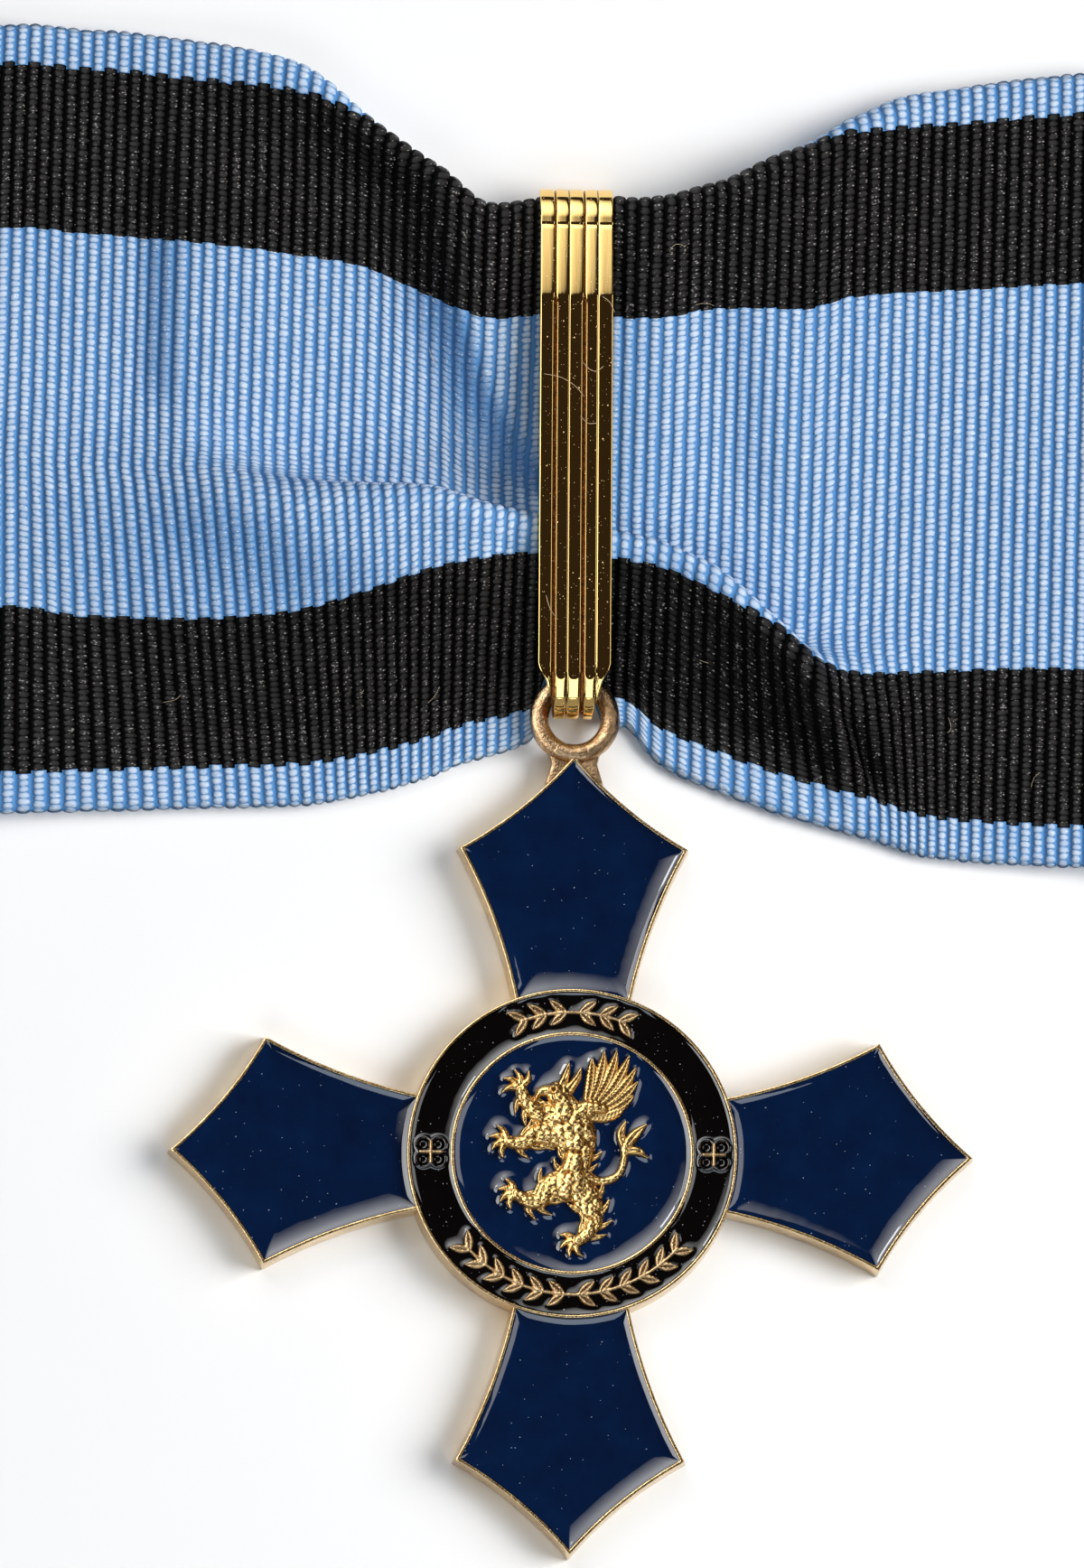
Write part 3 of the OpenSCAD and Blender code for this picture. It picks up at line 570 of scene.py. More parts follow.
def ribbon_piece(name, s, v, every, held):
    """A closed slab of ribbon. The underside keeps every so many of the places across."""
    # a row beyond each end gives neighbouring pieces the same border
    further = join([[2 * s[0] - s[1]], s, [2 * s[-1] - s[-2]]])
    middle = front_middle(further, v) if held == "gathered" else side_middle(further, v)
    along, middle = np.gradient(middle, axis=0)[1:-1], middle[1:-1]
    across = np.gradient(middle, axis=1)
    normal = unit(np.cross(across, along))
    # the slab thins to a rounded border at both edges
    full = dome(ramp(np.minimum(v, BAND_W - v), 0, 0.4))
    core, high = CORE * (0.35 + 0.65 * full), RIB_HIGH * full
    top = middle + normal * (core + high * rib_height(s, v))[..., None]
    low = middle - normal * (core + high * rib_height(s + RIB / 2, v))[..., None]
    rib = np.floor(s / RIB + 1e-6)
    bulge = 0.14 + (0.10 + 0.08 * hashed(rib, 3.0)) * np.abs(np.sin(np.pi * s / RIB)) ** 0.8
    rims = middle[:, [0, -1]] + unit(across[:, [0, -1]]) * bulge[:, None, None] * [[-1], [1]]
    points = join([top, rims[:, 1:], low[:, ::-every], rims[:, :1]], axis=1)
    ring_v = join([v, [v[-1] + EDGE_OUT], v[::-every], [v[0] - EDGE_OUT]])
    # painted shade: threads on slopes that face left and down are painted deeper, as if lit from the right
    # and the far side
    painted_shade = np.zeros(points.shape[:2])
    painted_shade[:, : len(v)] = np.clip(-2.1 * normal @ PAINTED_LIGHT_FROM - 0.1, 0, 1)
    quads = quads_of(*painted_shade.shape, ringed=True)
    caps = slab_caps(len(s), len(v), len(v[::every]))
    piece = make(name, to_cross(points), quads, weave, caps, stacked(s[:, None], ring_v), painted_shade)
    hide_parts("ribbon")
    float(s[-1] - s[0]) * MM


NEAR_END = np.array([0.01, 0.04])
BORDER = np.array([0, 0.07, 0.16, 0.28, 0.4])


def along_ribs(start, stop, per_rib):
    """Places from start to stop ribs, so many to each rib and more at both ends."""
    count = int(round((stop - start) * per_rib))
    places = RIB * (start + np.arange(count + 1) / per_rib)
    return np.sort(join([places, places[0] + NEAR_END, places[-1] - NEAR_END]))


def places_across(count):
    """Places from edge to edge, closer at the rounded borders unless they are few."""
    if count < 2 * len(BORDER) + 4:
        return np.linspace(0, BAND_W, count)
    between = np.linspace(BORDER[-1], BAND_W - BORDER[-1], count - 2 * len(BORDER) + 2)
    return join([BORDER[:-1], between, BAND_W - BORDER[-2::-1]])


FRONT_FIRST, FRONT_RIBS = -46.5, 30
for k, name in enumerate(("left", "middle", "right")):
    first = FRONT_FIRST + k * FRONT_RIBS
    s = along_ribs(first, first + FRONT_RIBS, 8)
    ribbon_piece("ribbon_front_" + name, s, places_across(181), 6, "gathered")
# the end of each side piece in ribs, its places per rib and across and the share kept below
SIDE_PIECES = [(63, 4, 61, 2), (92, 4, 81, 2), (120, 4, 61, 4), (332, 3, 13, 2)]
for side, name, start in ((-1, "left", FRONT_FIRST), (1, "right", FRONT_FIRST + 3 * FRONT_RIBS)):
    for k, (end, per_rib, count, every) in enumerate(SIDE_PIECES, 1):
        s = along_ribs(*sorted((start, side * end)), per_rib)
        ribbon_piece(f"ribbon_{name}_{k}", s, places_across(count), every, "folded")
        start = side * end


# The cross: rims and walls

ARM_REACH, CORNER_ALONG, CORNER_HALF, BASE_HALF = 22.7, 17.4, 6.45, 3.3
ARM_ROOT, FOOT_IN, EDGE_SAG, EDGE_STEPS = 6.0, 0.3, 0.37, 26
RIM_TOP, FLOOR_TOP, RIM_W = 2.2, 1.4, 0.27
MEDAL_R, INNER_R, RING_LINE, MEDAL_TOP = 9.35, 6.8, 0.22, 2.55
BAND_OUT = MEDAL_R - RING_LINE
BAND_IN, FIELD_R = INNER_R + RING_LINE / 2, INNER_R - RING_LINE / 2
# heights of the enamel in the arms, the middle and the band, and how far metal draws it up
ARM_Z, FIELD_Z, BAND_Z = 1.88, 2.20, 2.30
ARM_REACH_UP, FIELD_REACH_UP, BAND_REACH_UP = 0.50, 0.42, 0.26
RELIEF_FOOT, RELIEF_SHOWS = 2.15, 2.20


def inset(points, d):
    """A closed outline, run anticlockwise, drawn in by d all round."""
    before = left_of(unit(points - np.roll(points, 1, axis=0)))
    after = left_of(unit(np.roll(points, -1, axis=0) - points))
    both = before + after
    return points + both * d * 2 / (both * both).sum(1, keepdims=True)


def walls(outline, profile):
    """A strip round an outline whose profile holds places out from it and heights."""
    rings = [stacked(*inset(outline, -out).T, z) for out, z in profile]
    return np.stack(rings, axis=1)


def arm_outline():
    """The arm that points right, anticlockwise, with each edge bowed inwards."""
    foot_along = sqrt(MEDAL_R**2 - BASE_HALF**2) - FOOT_IN
    foot_half = BASE_HALF - FOOT_IN * (CORNER_HALF - BASE_HALF) / (CORNER_ALONG - foot_along)
    root = np.array([ARM_ROOT, foot_half * ARM_ROOT / foot_along])
    below = np.array([[foot_along, -foot_half], [CORNER_ALONG, -CORNER_HALF], [ARM_REACH, 0]])
    corners = join([below, below[1::-1] * [1, -1]])
    t = (np.arange(EDGE_STEPS) / EDGE_STEPS)[:, None]
    edges = [root[None] * [1, -1]]
    for a, b in zip(corners, corners[1:]):
        edges.append(a + (b - a) * t + left_of(unit(b - a)) * EDGE_SAG * 4 * t * (1 - t))
    return join([*edges, corners[-1:], root[None]])


class Shape:
    """Points and faces gathered from several strips and surfaces."""

    def __init__(self):
        self.points, self.quads, self.triangles, self.count = [], [], [], 0

    def grid(self, points, closed=True, flip=True):
        """A grid of points; closed joins its last row to the first."""
        quads = quads_of(*points.shape[:2], closed, self.count)
        self.quads.append(quads[:, ::-1] if flip else quads)
        self.points.append(points.reshape(-1, 3))
        self.count += len(self.points[-1])
        return self

    def lid(self, ring, height, flip=False):
        """A flat face over a closed ring, as a fan about its middle."""
        i, n = np.arange(len(ring)), len(ring)
        self.points.append(stacked(*join([ring, [ring.mean(0)]]).T, height))
        fan = self.count + stacked(i, (i + 1) % n, n)
        self.triangles.append(fan[:, ::-1] if flip else fan)
        self.count += n + 1

    def build(self, name, material):
        triangles = join(self.triangles) if self.triangles else ()
        return make(name, join(self.points), join(self.quads), material, triangles)


def turned(points, degrees):
    c, s = at_angle(degrees)
    x, y, *rest = np.moveaxis(points, -1, 0)
    return stacked(c * x - s * y, s * x + c * y, *rest)


def lathe(profile, steps, centre=(0, 0)):
    """A profile of (radius, height) turned about an upright line."""
    a, (radius, height) = around(steps)[:, None], np.asarray(profile, float).T
    return stacked(centre[0] + np.cos(a) * radius, centre[1] + np.sin(a) * radius, height)


def rounded(points, radius, steps=4):
    """A line through points with each corner rounded."""
    p = np.asarray(points, float)
    t = (np.arange(steps + 1) / steps)[:, None]
    out = [p[:1]]
    for a, b, c in zip(p, p[1:], p[2:]):
        before = b + (a - b) * min(radius / np.linalg.norm(a - b), 0.5)
        after = b + (c - b) * min(radius / np.linalg.norm(c - b), 0.5)
        out.append((1 - t) ** 2 * before + 2 * t * (1 - t) * b + t * t * after)
    return join([*out, p[-1:]])


# out from the outline and up, from the table over the rim and down to the enamel
RIM_LINE = [[0.08, 0], [0.13, 0.06], [0.10, 0.75], [0.01, RIM_TOP], [-0.17, RIM_TOP], [-RIM_W, FLOOR_TOP]]
MEDAL_FOOT, THIN_TOP = 1.6, MEDAL_TOP - 0.02
medal_wall = [[MEDAL_R + out, z] for out, z in ((0.08, 0), (0.13, 0.06), (0.09, 0.8), (0, MEDAL_TOP))]
medal_wall += [[BAND_OUT + 0.05, MEDAL_TOP], [BAND_OUT, MEDAL_FOOT]]
thin_ring = [[BAND_IN + 0.02, MEDAL_FOOT], [BAND_IN, THIN_TOP]]
thin_ring += [[FIELD_R, THIN_TOP], [FIELD_R - 0.02, MEDAL_FOOT]]

body = Shape()
outline = arm_outline()
for turn in range(4):
    strip = walls(outline, rounded(RIM_LINE, 0.06))
    wobble = 0.012 * value_noise(strip[..., 0] * 1.1 + turn * 9, strip[..., 1] * 1.1)
    strip[..., 2] += np.where(strip[..., 2] > 1.5, wobble, 0)
    body.grid(turned(strip, 90 * turn))
    body.lid(turned(inset(outline, -0.10), 90 * turn), 0.0, flip=True)
body.grid(lathe(rounded(medal_wall, 0.07), 300))
body.grid(lathe(rounded(thin_ring, 0.1, 5), 260))
body.lid(lathe([[MEDAL_R + 0.10, 0]], 300)[:, 0, :2], 0.0, flip=True)


# The eyelet ring and its webs

WIRE_R, EYE_R, EYE_Y, EYE_Z = 0.53, 2.03, 24.9, 1.8
WEB_LOW, WEB_TOP = EYE_Z - 0.55, 1.93
ring = Shape()
a, b = np.meshgrid(around(200), np.linspace(0, WHOLE_TURN, 49), indexing="ij")
wire = WIRE_R + 0.028 * (pebbles(a * 7.5, b * 2.2) - 0.4) + 0.02 * value_noise(a * 3, b * 1.4)
wire[:, -1] = wire[:, 0]
out = EYE_R + wire * np.cos(b)
eyelet = stacked(out * np.cos(a), EYE_Y + out * np.sin(a), EYE_Z + wire * np.sin(b))
ring.grid(eyelet)
web_side = np.array([[1.75, 23.35], [1.42, 22.85], [1.28, 22.3], [1.45, 21.7], [1.6, 21.2]])
web = join([web_side, web_side[::-1] * [-1, 1]])[::-1]
web_line = rounded([[0.06, WEB_LOW], [0.05, 1.5], [0.0, 1.9], [-0.2, WEB_TOP]], 0.12)
ring.grid(walls(web, web_line))
ring.lid(inset(web, 0.2), WEB_TOP)
ring.lid(inset(web, -0.06), WEB_LOW, flip=True)


# The relief: strokes of x, y and half width, as distance fields


def spline_points(p, steps):
    """A smooth line through points of x, y and half width."""
    p = np.asarray(p, float)
    t = (np.arange(steps) / steps)[:, None]
    out = []
    for a, b, c, d in zip([p[0], *p], p, p[1:], [*p[2:], p[-1]]):
        out.append(2 * b + (c - a) * t + (2 * a - 5 * b + 4 * c - d) * t**2 + (3 * b - a - 3 * c + d) * t**3)
    return join([0.5 * join(out), p[-1:]])


def stroke_field(stroke, x, y, steps):
    """For each point: distance to the stroke's edge (negative inside), share of the half width,
    signed share across it and place along it."""
    q = spline_points(stroke, steps)
    q[:, 2] = np.maximum(q[:, 2], 0.04)
    best = np.zeros((4, *x.shape))
    best[0] = 1e9
    passed = 0
    for (ax, ay, ar), (dx, dy, dr) in zip(q, np.diff(q, axis=0)):
        long = hypot(dx, dy)
        t = np.clip(((x - ax) * dx + (y - ay) * dy) / max(long**2, 1e-9), 0, 1)
        radius, off_x, off_y = ar + dr * t, x - ax - dx * t, y - ay - dy * t
        far = np.hypot(off_x, off_y)
        side = np.sign(dx * off_y - dy * off_x)
        found = np.stack([far - radius, far / radius, side * far / radius, passed + t * long])
        best = np.where(found[0] < best[0], found, best)
        passed += long
    return best


# The griffin, rampant to the left: trunk, then head and limbs
TRUNK = [
    [[-0.5, 1.75, 0.85], [0.05, 1.15, 1.1], [0.3, 0.1, 0.85], [0.1, -0.8, 0.72], [-0.1, -1.6, 0.9]],
    [[-0.2, 1.9, 0.85], [-0.55, 2.6, 0.68], [-0.8, 3.05, 0.6]],
]
BEAK = [[-1.05, 3.15, 0.36], [-1.6, 3.1, 0.27], [-1.9, 2.68, 0.05]]
EARS = [
    [[-0.55, 3.4, 0.28], [-0.32, 4.05, 0.2], [-0.2, 4.55, 0.05]],
    [[-0.2, 3.2, 0.3], [0.22, 3.8, 0.22], [0.4, 4.3, 0.05]],
]
SHOULDER = [[0.2, 1.95, 0.62], [0.9, 2.3, 0.5], [1.5, 2.25, 0.3]]
FORELEGS = [
    [[-0.7, 1.9, 0.66], [-1.7, 2.0, 0.52], [-2.35, 2.6, 0.4], [-2.6, 3.2, 0.32]],
    [[-0.6, 0.9, 0.72], [-1.7, 0.95, 0.55], [-2.5, 0.5, 0.42], [-3.2, 0.55, 0.32]],
]
HIND_LEGS = [
    [[-0.2, -1.6, 0.85], [-1.0, -1.75, 0.72], [-1.6, -2.4, 0.46], [-2.2, -2.45, 0.4], [-2.8, -2.1, 0.32]],
    [[0.25, -1.6, 0.85], [0.85, -2.5, 0.72], [1.1, -3.4, 0.48], [0.75, -4.1, 0.38], [0.3, -4.45, 0.32]],
]
TAIL = [[0.5, -0.9, 0.26], [1.35, -1.4, 0.24], [2.25, -1.15, 0.22], [2.6, -0.4, 0.2], [2.65, 0.4, 0.2]]
TAIL_TUFT = [
    [[2.62, 0.2, 0.2], [3.1, 0.9, 0.32], [3.75, 1.5, 0.05]],
    [[2.62, 0.3, 0.18], [2.45, 1.0, 0.24], [2.7, 1.65, 0.05]],
    [[2.65, 0.1, 0.18], [3.3, 0.15, 0.25], [3.8, -0.2, 0.05]],
]
# foot x, y, first angle of its claws and their length
FEET = [[-2.65, 3.3, 48, 0.95], [-3.3, 0.6, 108, 0.9], [-2.9, -2.05, 108, 0.85], [0.2, -4.45, 145, 0.85]]
CLAW_STEP, CLAW_HOOK = 44, 16
# feathers of the wing: first angle, how far it bends up on the way, length
FEATHERS = [[71, 10, 3.0], [58, 14, 3.5], [46, 17, 3.8], [34, 19, 3.9]]
FEATHERS += [[22, 21, 3.7], [10, 23, 3.3], [-2, 25, 2.8], [-14, 27, 2.2]]
FEATHER_HALVES = [(0.15, 0.18), (0.5, 0.30), (0.8, 0.27), (1.0, 0.05)]
WING_ROOT = np.array([0.5, 1.85])
GRIFFIN_SIZE, WALL_SLOPE = 1.12, 3.5


def through(*places):
    """A stroke through pairs of a place and a half width."""
    return [[*place, half] for place, half in places]


def tufts(stroke, first, reach):
    """Pointed locks that stand off both sides of a limb and sweep back along it."""
    q = spline_points(stroke, 3)
    ahead = unit(np.gradient(q[:, :2], axis=0))
    locks = []
    for k in range(first, len(q) - 2):
        side = -1 if k % 2 == 0 else 1
        out, r = side * left_of(ahead[k]), q[k, 2]
        foot = q[k, :2] + 0.5 * r * out
        knee = foot + out * (0.5 * r + 0.15 * reach) - ahead[k] * 0.3 * reach
        tip = foot + out * (0.5 * r + 0.5 * reach) - ahead[k] * 0.8 * reach
        locks.append(through((foot, 0.24), (knee, 0.17), (tip, 0.04)))
    return locks


claws = []
for foot_x, foot_y, first, toe in FEET:
    foot = np.array([foot_x, foot_y])
    for a in first + CLAW_STEP * np.arange(4):
        tip = foot + toe * at_angle(a + CLAW_HOOK)
        claws.append(through((foot, 0.24), (foot + 0.6 * toe * at_angle(a), 0.18), (tip, 0.05)))
feathers = []
for a, bend, reach in FEATHERS:
    quill = [(WING_ROOT + reach * d * at_angle(a + bend * d), half) for d, half in FEATHER_HALVES]
    feathers.append(through(*quill))
locks = tufts(TRUNK[0], 6, 0.7)
for legs, first, reach in ((FORELEGS, 2, 0.75), (HIND_LEGS, 3, 0.8)):
    locks += [lock for leg in legs for lock in tufts(leg, first, reach)]


class Relief:
    """The highest of several strokes: height, distance to the outline and share of painted shade."""

    def __init__(self, x, y):
        self.x, self.y = x, y
        self.height, self.outline, self.pits = (np.full(x.shape, value) for value in (-9.0, 9.0, 1.0))

    def raise_to(self, height, edge, pits, where=slice(None)):
        """Takes a new form where it is the higher one. Outside its edge a form takes full painted shade."""
        higher = height > self.height[where]
        self.height[where] = np.where(higher, height, self.height[where])
        pits = np.where(edge > 0, 1, np.clip(pits, 0, 1))
        self.pits[where] = np.where(higher, pits, self.pits[where])
        self.outline[where] = np.minimum(self.outline[where], edge)

    def stroke(self, stroke, base, rise, pattern, steps=5, where=slice(None)):
        """Adds a rounded ridge. The pattern gives a depth in millimetres and a share of painted shade."""
        edge, share, side, along = stroke_field(stroke, self.x[where], self.y[where], steps)
        depth, pits = pattern(side, along)
        top = base + rise * np.sqrt(np.clip(1 - share**2, 0, 1))
        height = np.where(edge < 0, top, base - WALL_SLOPE * edge) - np.where(edge < -0.02, depth, 0)
        # painted shade grows down the ridge's steep sides
        self.raise_to(height, edge, pits + 0.7 * np.clip(share, 0, 1) ** 6, where)


def feathered(side, along):
    """A quill line with barbs running off it."""
    quill = bell(side / 0.22)
    barbs = 0.5 + 0.5 * np.sin(WHOLE_TURN * (along + 0.35 * np.abs(side)) / 0.2)
    return 0.15 * quill + 0.035 * barbs, 0.8 * quill + 0.3 * barbs


def griffin_relief(x, y):
    """The griffin over a grid, worked out at its drawn size."""
    relief = Relief(x / GRIFFIN_SIZE, y / GRIFFIN_SIZE)
    u, v = relief.x, relief.y
    fine = 0.02 * value_noise(u * 9, v * 9)
    hollow, small_hollow = 1 - pebbles(u * 2.0 + 5, v * 2.0), 1 - pebbles(u * 2.7, v * 2.7)
    # each pattern gives a depth and a share of painted shade in its hollows
    curled = lambda side, along: (0.26 * hollow - 0.06 + fine, 1.1 * hollow**1.3)
    furred = lambda side, along: (0.17 * small_hollow - 0.04, 0.9 * small_hollow**1.3)
    plain = lambda side, along: (fine, 0)
    grooved = lambda side, along: (0.07 * bell(side / 0.3) + fine, 0.6 * bell(side / 0.3))
    # what each group of strokes starts at, how far it rises and its pattern
    for strokes, base, rise, pattern in (
        (feathers, 2.36, 0.34, feathered),
        (locks, 2.33, 0.3, grooved),
        ([TAIL], 2.34, 0.32, plain),
        (TAIL_TUFT, 2.34, 0.34, grooved),
        (claws, 2.36, 0.34, plain),
        ([SHOULDER], 2.4, 0.5, furred),
        (EARS, 2.4, 0.4, grooved),
        ([BEAK], 2.42, 0.44, plain),
        (FORELEGS + HIND_LEGS, 2.38, 0.44, furred),
        (TRUNK, 2.4, 0.58, curled),
    ):
        for stroke in strokes:
            relief.stroke(stroke, base, rise, pattern)
    eye = np.hypot(u + 1.0, v - 3.2)
    relief.height += 0.10 * np.exp(-((eye - 0.18) ** 2) / 0.004) - 0.16 * np.exp(-(eye**2) / 0.006)
    # painted shade fills the eye's pit
    relief.pits = np.maximum(relief.pits, np.exp(-(eye**2) / 0.008))
    relief.x, relief.y, relief.outline = x, y, relief.outline * GRIFFIN_SIZE
    return relief


# The band's ornament: for each spray its middle angle, pairs of leaves and the step between them
SPRAYS = [[90, 3, 8.2], [270, 6, 8.6]]
BAND_MID = (BAND_IN + BAND_OUT) / 2
LEAF_LEN, LEAF_HALF, STEM_HALF = 1.12, 0.27, 0.10
CROSS_ARM, CROSS_HALF, CROSS_TOP = 0.68, 0.09, 2.50
LOBE_AT, LOBE_R = 0.42, 0.31

leaves, stems = [], []
for middle, pairs, step in SPRAYS:
    for side in (-1, 1):
        for k in range(pairs):
            a = middle + side * (k + 0.35) * step
            foot = BAND_MID * at_angle(a)
            for up in (-1, 1):
                leaf = LEAF_LEN * at_angle(a + side * (90 - up * 38))
                leaves.append(through((foot, STEM_HALF), (foot + leaf / 2, LEAF_HALF), (foot + leaf, 0.05)))
    reach = (pairs - 0.4) * step
    count = ceil(reach / 4)
    angles = middle + reach / count * np.arange(-count, count + 1)
    stems.append(through(*[(BAND_MID * at_angle(a), STEM_HALF) for a in angles]))


def ornament_relief(x, y):
    """The two leaf sprays and the small crosses."""
    relief = Relief(x, y)
    plain = lambda side, along: (0, 0)
    for strokes, rise, pattern, span in (
        (leaves, 0.17, feathered, LEAF_LEN * 1.4),
        (stems, 0.14, plain, BAND_OUT * 2),
    ):
        for stroke in strokes:
            near = np.hypot(x - stroke[1][0], y - stroke[1][1]) < span
            relief.stroke(stroke, 2.46, rise, pattern, 4, near)
    for side in (-1, 1):
        u, v = np.abs(x - side * BAND_MID), np.abs(y)
        for a, b in ((u, v), (v, u)):
            edge = np.maximum(a - CROSS_ARM, b - CROSS_HALF)
            top = CROSS_TOP + 0.10 * np.sqrt(np.clip(-edge / CROSS_HALF, 0, 1))
            relief.raise_to(np.where(edge < 0, top, CROSS_TOP - WALL_SLOPE * edge), edge, 0)
    relief.height += 0.012 * value_noise(x * 8, y * 8)
    return relief


def lobes(x, y):
    """Shares of the four sunk lobes round each small cross, and of the ridge round them."""
    u, v = np.abs(np.abs(x) - BAND_MID), np.abs(y)
    far = np.hypot(u - LOBE_AT, v - LOBE_AT)
    ridge = bell((far - LOBE_R - 0.12) / 0.10) * ramp(np.maximum(u, v), LOBE_AT, LOBE_AT + 0.15)
    return np.exp(-((far / LOBE_R) ** 6)), ridge


def relief_piece(name, relief, material):
    """The part of a relief that stands above the enamel, as a mesh."""
    quads = quads_of(*relief.x.shape)
    keep = (relief.height > RELIEF_SHOWS).ravel()
    used, index = np.unique(quads[keep[quads].any(axis=1)], return_inverse=True)
    points = stacked(relief.x, relief.y, np.maximum(relief.height, RELIEF_FOOT)).reshape(-1, 3)
    make(name, points[used], index.reshape(-1, 4), material, painted_shade=relief.pits.ravel()[used])


SKIN_CELL, SKIN_ROUNDS = 0.05, 160
FIELD_HALF, BAND_HALF = 6.9, 9.4


def skin_round(relief_of, reach, half, x, y):
    """How far a liquid skin at points is drawn up by a relief: 1 at it, 0 well away from it.

    It is worked out on a square grid that reaches so far each way from the middle."""
    line = np.arange(-half, half + SKIN_CELL, SKIN_CELL)
    metal = relief_of(*np.meshgrid(line, line, indexing="ij")).outline < 0.02
    up = metal.astype(float)
    hold = 1 / (4 + (SKIN_CELL / reach) ** 2)
    for _ in range(SKIN_ROUNDS):
        near = np.roll(up, 1, 0) + np.roll(up, -1, 0) + np.roll(up, 1, 1) + np.roll(up, -1, 1)
        up = np.where(metal, 1.0, near * hold)
    u, v = (x + half) / SKIN_CELL, (y + half) / SKIN_CELL
    i, j = np.floor(u).astype(int), np.floor(v).astype(int)
    u, v = u - i, v - j
    left = up[i, j] * (1 - v) + up[i, j + 1] * v
    right = up[i + 1, j] * (1 - v) + up[i + 1, j + 1] * v
    return left * (1 - u) + right * u


def polar(radii, steps):
    """A grid of x and y with a row for each angle of a whole turn, its end included."""
    a = np.linspace(0, WHOLE_TURN, steps)[:, None]
    return radii * np.cos(a), radii * np.sin(a)


# enamel in the middle, drawn up to the ring and to the griffin
radii = np.linspace(0, FIELD_R, 90)
x, y = polar(radii, 481)
z = FIELD_Z + 0.19 * skin_round(griffin_relief, FIELD_REACH_UP, FIELD_HALF, x, y)
z += 0.25 * np.exp((radii - FIELD_R) / FIELD_REACH_UP) + 0.012 * value_noise(x * 0.5 + 3, y * 0.5)
centre = Shape().grid(stacked(x, y, np.minimum(z, MEDAL_TOP - 0.06)), False, False)
piece = centre.build("enamel_centre_glazed", navy)
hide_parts("enamel_centre")

# the griffin
GRIFFIN_CELL = 0.038
across, down = np.arange(-5.3, 5.5, GRIFFIN_CELL), np.arange(6.0, -6.3, -GRIFFIN_CELL)
x, y = np.meshgrid(across, down, indexing="ij")
relief_piece("griffin_relief", griffin_relief(x, y), relief_gilt)

# black enamel of the band and its ornament
radii = np.linspace(BAND_IN, BAND_OUT, 36)
x, y = polar(radii, 801)
sunk, ridge = lobes(x, y)
to_ring = np.minimum(BAND_OUT - radii, radii - BAND_IN)
z = BAND_Z + 0.12 * skin_round(ornament_relief, BAND_REACH_UP, BAND_HALF, x, y) * (1 - sunk)
z += 0.15 * np.exp(-to_ring / BAND_REACH_UP) + 0.12 * ridge - 0.18 * sunk
band = Shape().grid(stacked(x, y, np.minimum(z, MEDAL_TOP - 0.04)), False, False)
piece = band.build("enamel_band_glazed", ink)
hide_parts("enamel_band")
x, y = polar(np.linspace(BAND_IN + 0.02, BAND_OUT - 0.02, 50), 1161)
relief_piece("leaf_sprays_and_small_crosses", ornament_relief(x, y), dark_gilt)

# the arms' enamel, drawn up to the rim all round and to the medallion
ENAMEL_IN, ENAMEL_FOOT_R = 0.19, MEDAL_R + 0.02
SHARES_IN = np.array([
    0, 0.004, 0.01, 0.018, 0.028, 0.04, 0.056, 0.076, 0.1, 0.14, 0.19, 0.26, 0.36, 0.5, 0.7, 1,
])
arm_middle = np.array([15.0, 0.0])
arm_ring = inset(outline, ENAMEL_IN)
arm_ring = arm_ring[np.hypot(*arm_ring.T) > ENAMEL_FOOT_R + 0.05]
foot_y = arm_ring[np.argmin(np.hypot(*arm_ring.T)), 1]
half = atan2(abs(foot_y) - 0.02, sqrt(ENAMEL_FOOT_R**2 - foot_y**2))
arc = np.linspace(half, -half, 24)
arm_ring = join([arm_ring, ENAMEL_FOOT_R * stacked(np.cos(arc), np.sin(arc))])
x, y = (arm_ring - arm_middle).T
arm_ring = arm_ring[np.argsort(np.arctan2(y, x), kind="stable")]
plan = arm_ring[:, None] + (arm_middle - arm_ring)[:, None] * SHARES_IN[:, None]
to_rim = np.full(plan.shape[:2], 9.0)
for a, b in zip(arm_ring, np.roll(arm_ring, -1, axis=0)):
    t = np.clip(((plan - a) @ (b - a)) / ((b - a) @ (b - a)), 0, 1)
    to_rim = np.minimum(to_rim, np.linalg.norm(plan - a - t[..., None] * (b - a), axis=-1))
arm_surface = stacked(plan[..., 0], plan[..., 1], ARM_Z + 0.29 * np.exp(-to_rim / ARM_REACH_UP))
for turn, node in enumerate(("right", "top", "left", "bottom")):
    piece = Shape().grid(turned(arm_surface, 90 * turn)).build("enamel_arm_" + node + "_glazed", navy)
    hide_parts("enamel_arm_" + node)

body_piece = body.build("cross_body", gilt)
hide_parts("cross")
ring.build("eyelet", rose_gilt)


# The clip: one fluted strip, folded over the ribbon, whose tab curls through the eyelet

CLIP_X, CLIP_W, TAB_W, SHEET = -0.15, 4.15, 2.2, 0.45
CLIP_LOW, CLIP_BEND, CLIP_HIGH, CLIP_FACE = 27.3, 53.3, 55.35, 4.4
# place across, half width and depth of each groove, whose half width is less on the head
GROOVES = [(-1.21, 0.11, 0.12), (-0.42, 0.018, 0.03), (0.45, 0.11, 0.12), (1.22, 0.018, 0.03)]
HEAD_GROOVE = 0.04
TILT_FROM, TILT, TILT_GROWS = 48.75, 0.080, 0.006
# where the columns of points stand still while the edge moves, and the bevel along the edge
STILL, BEVEL = 0.95, 0.08


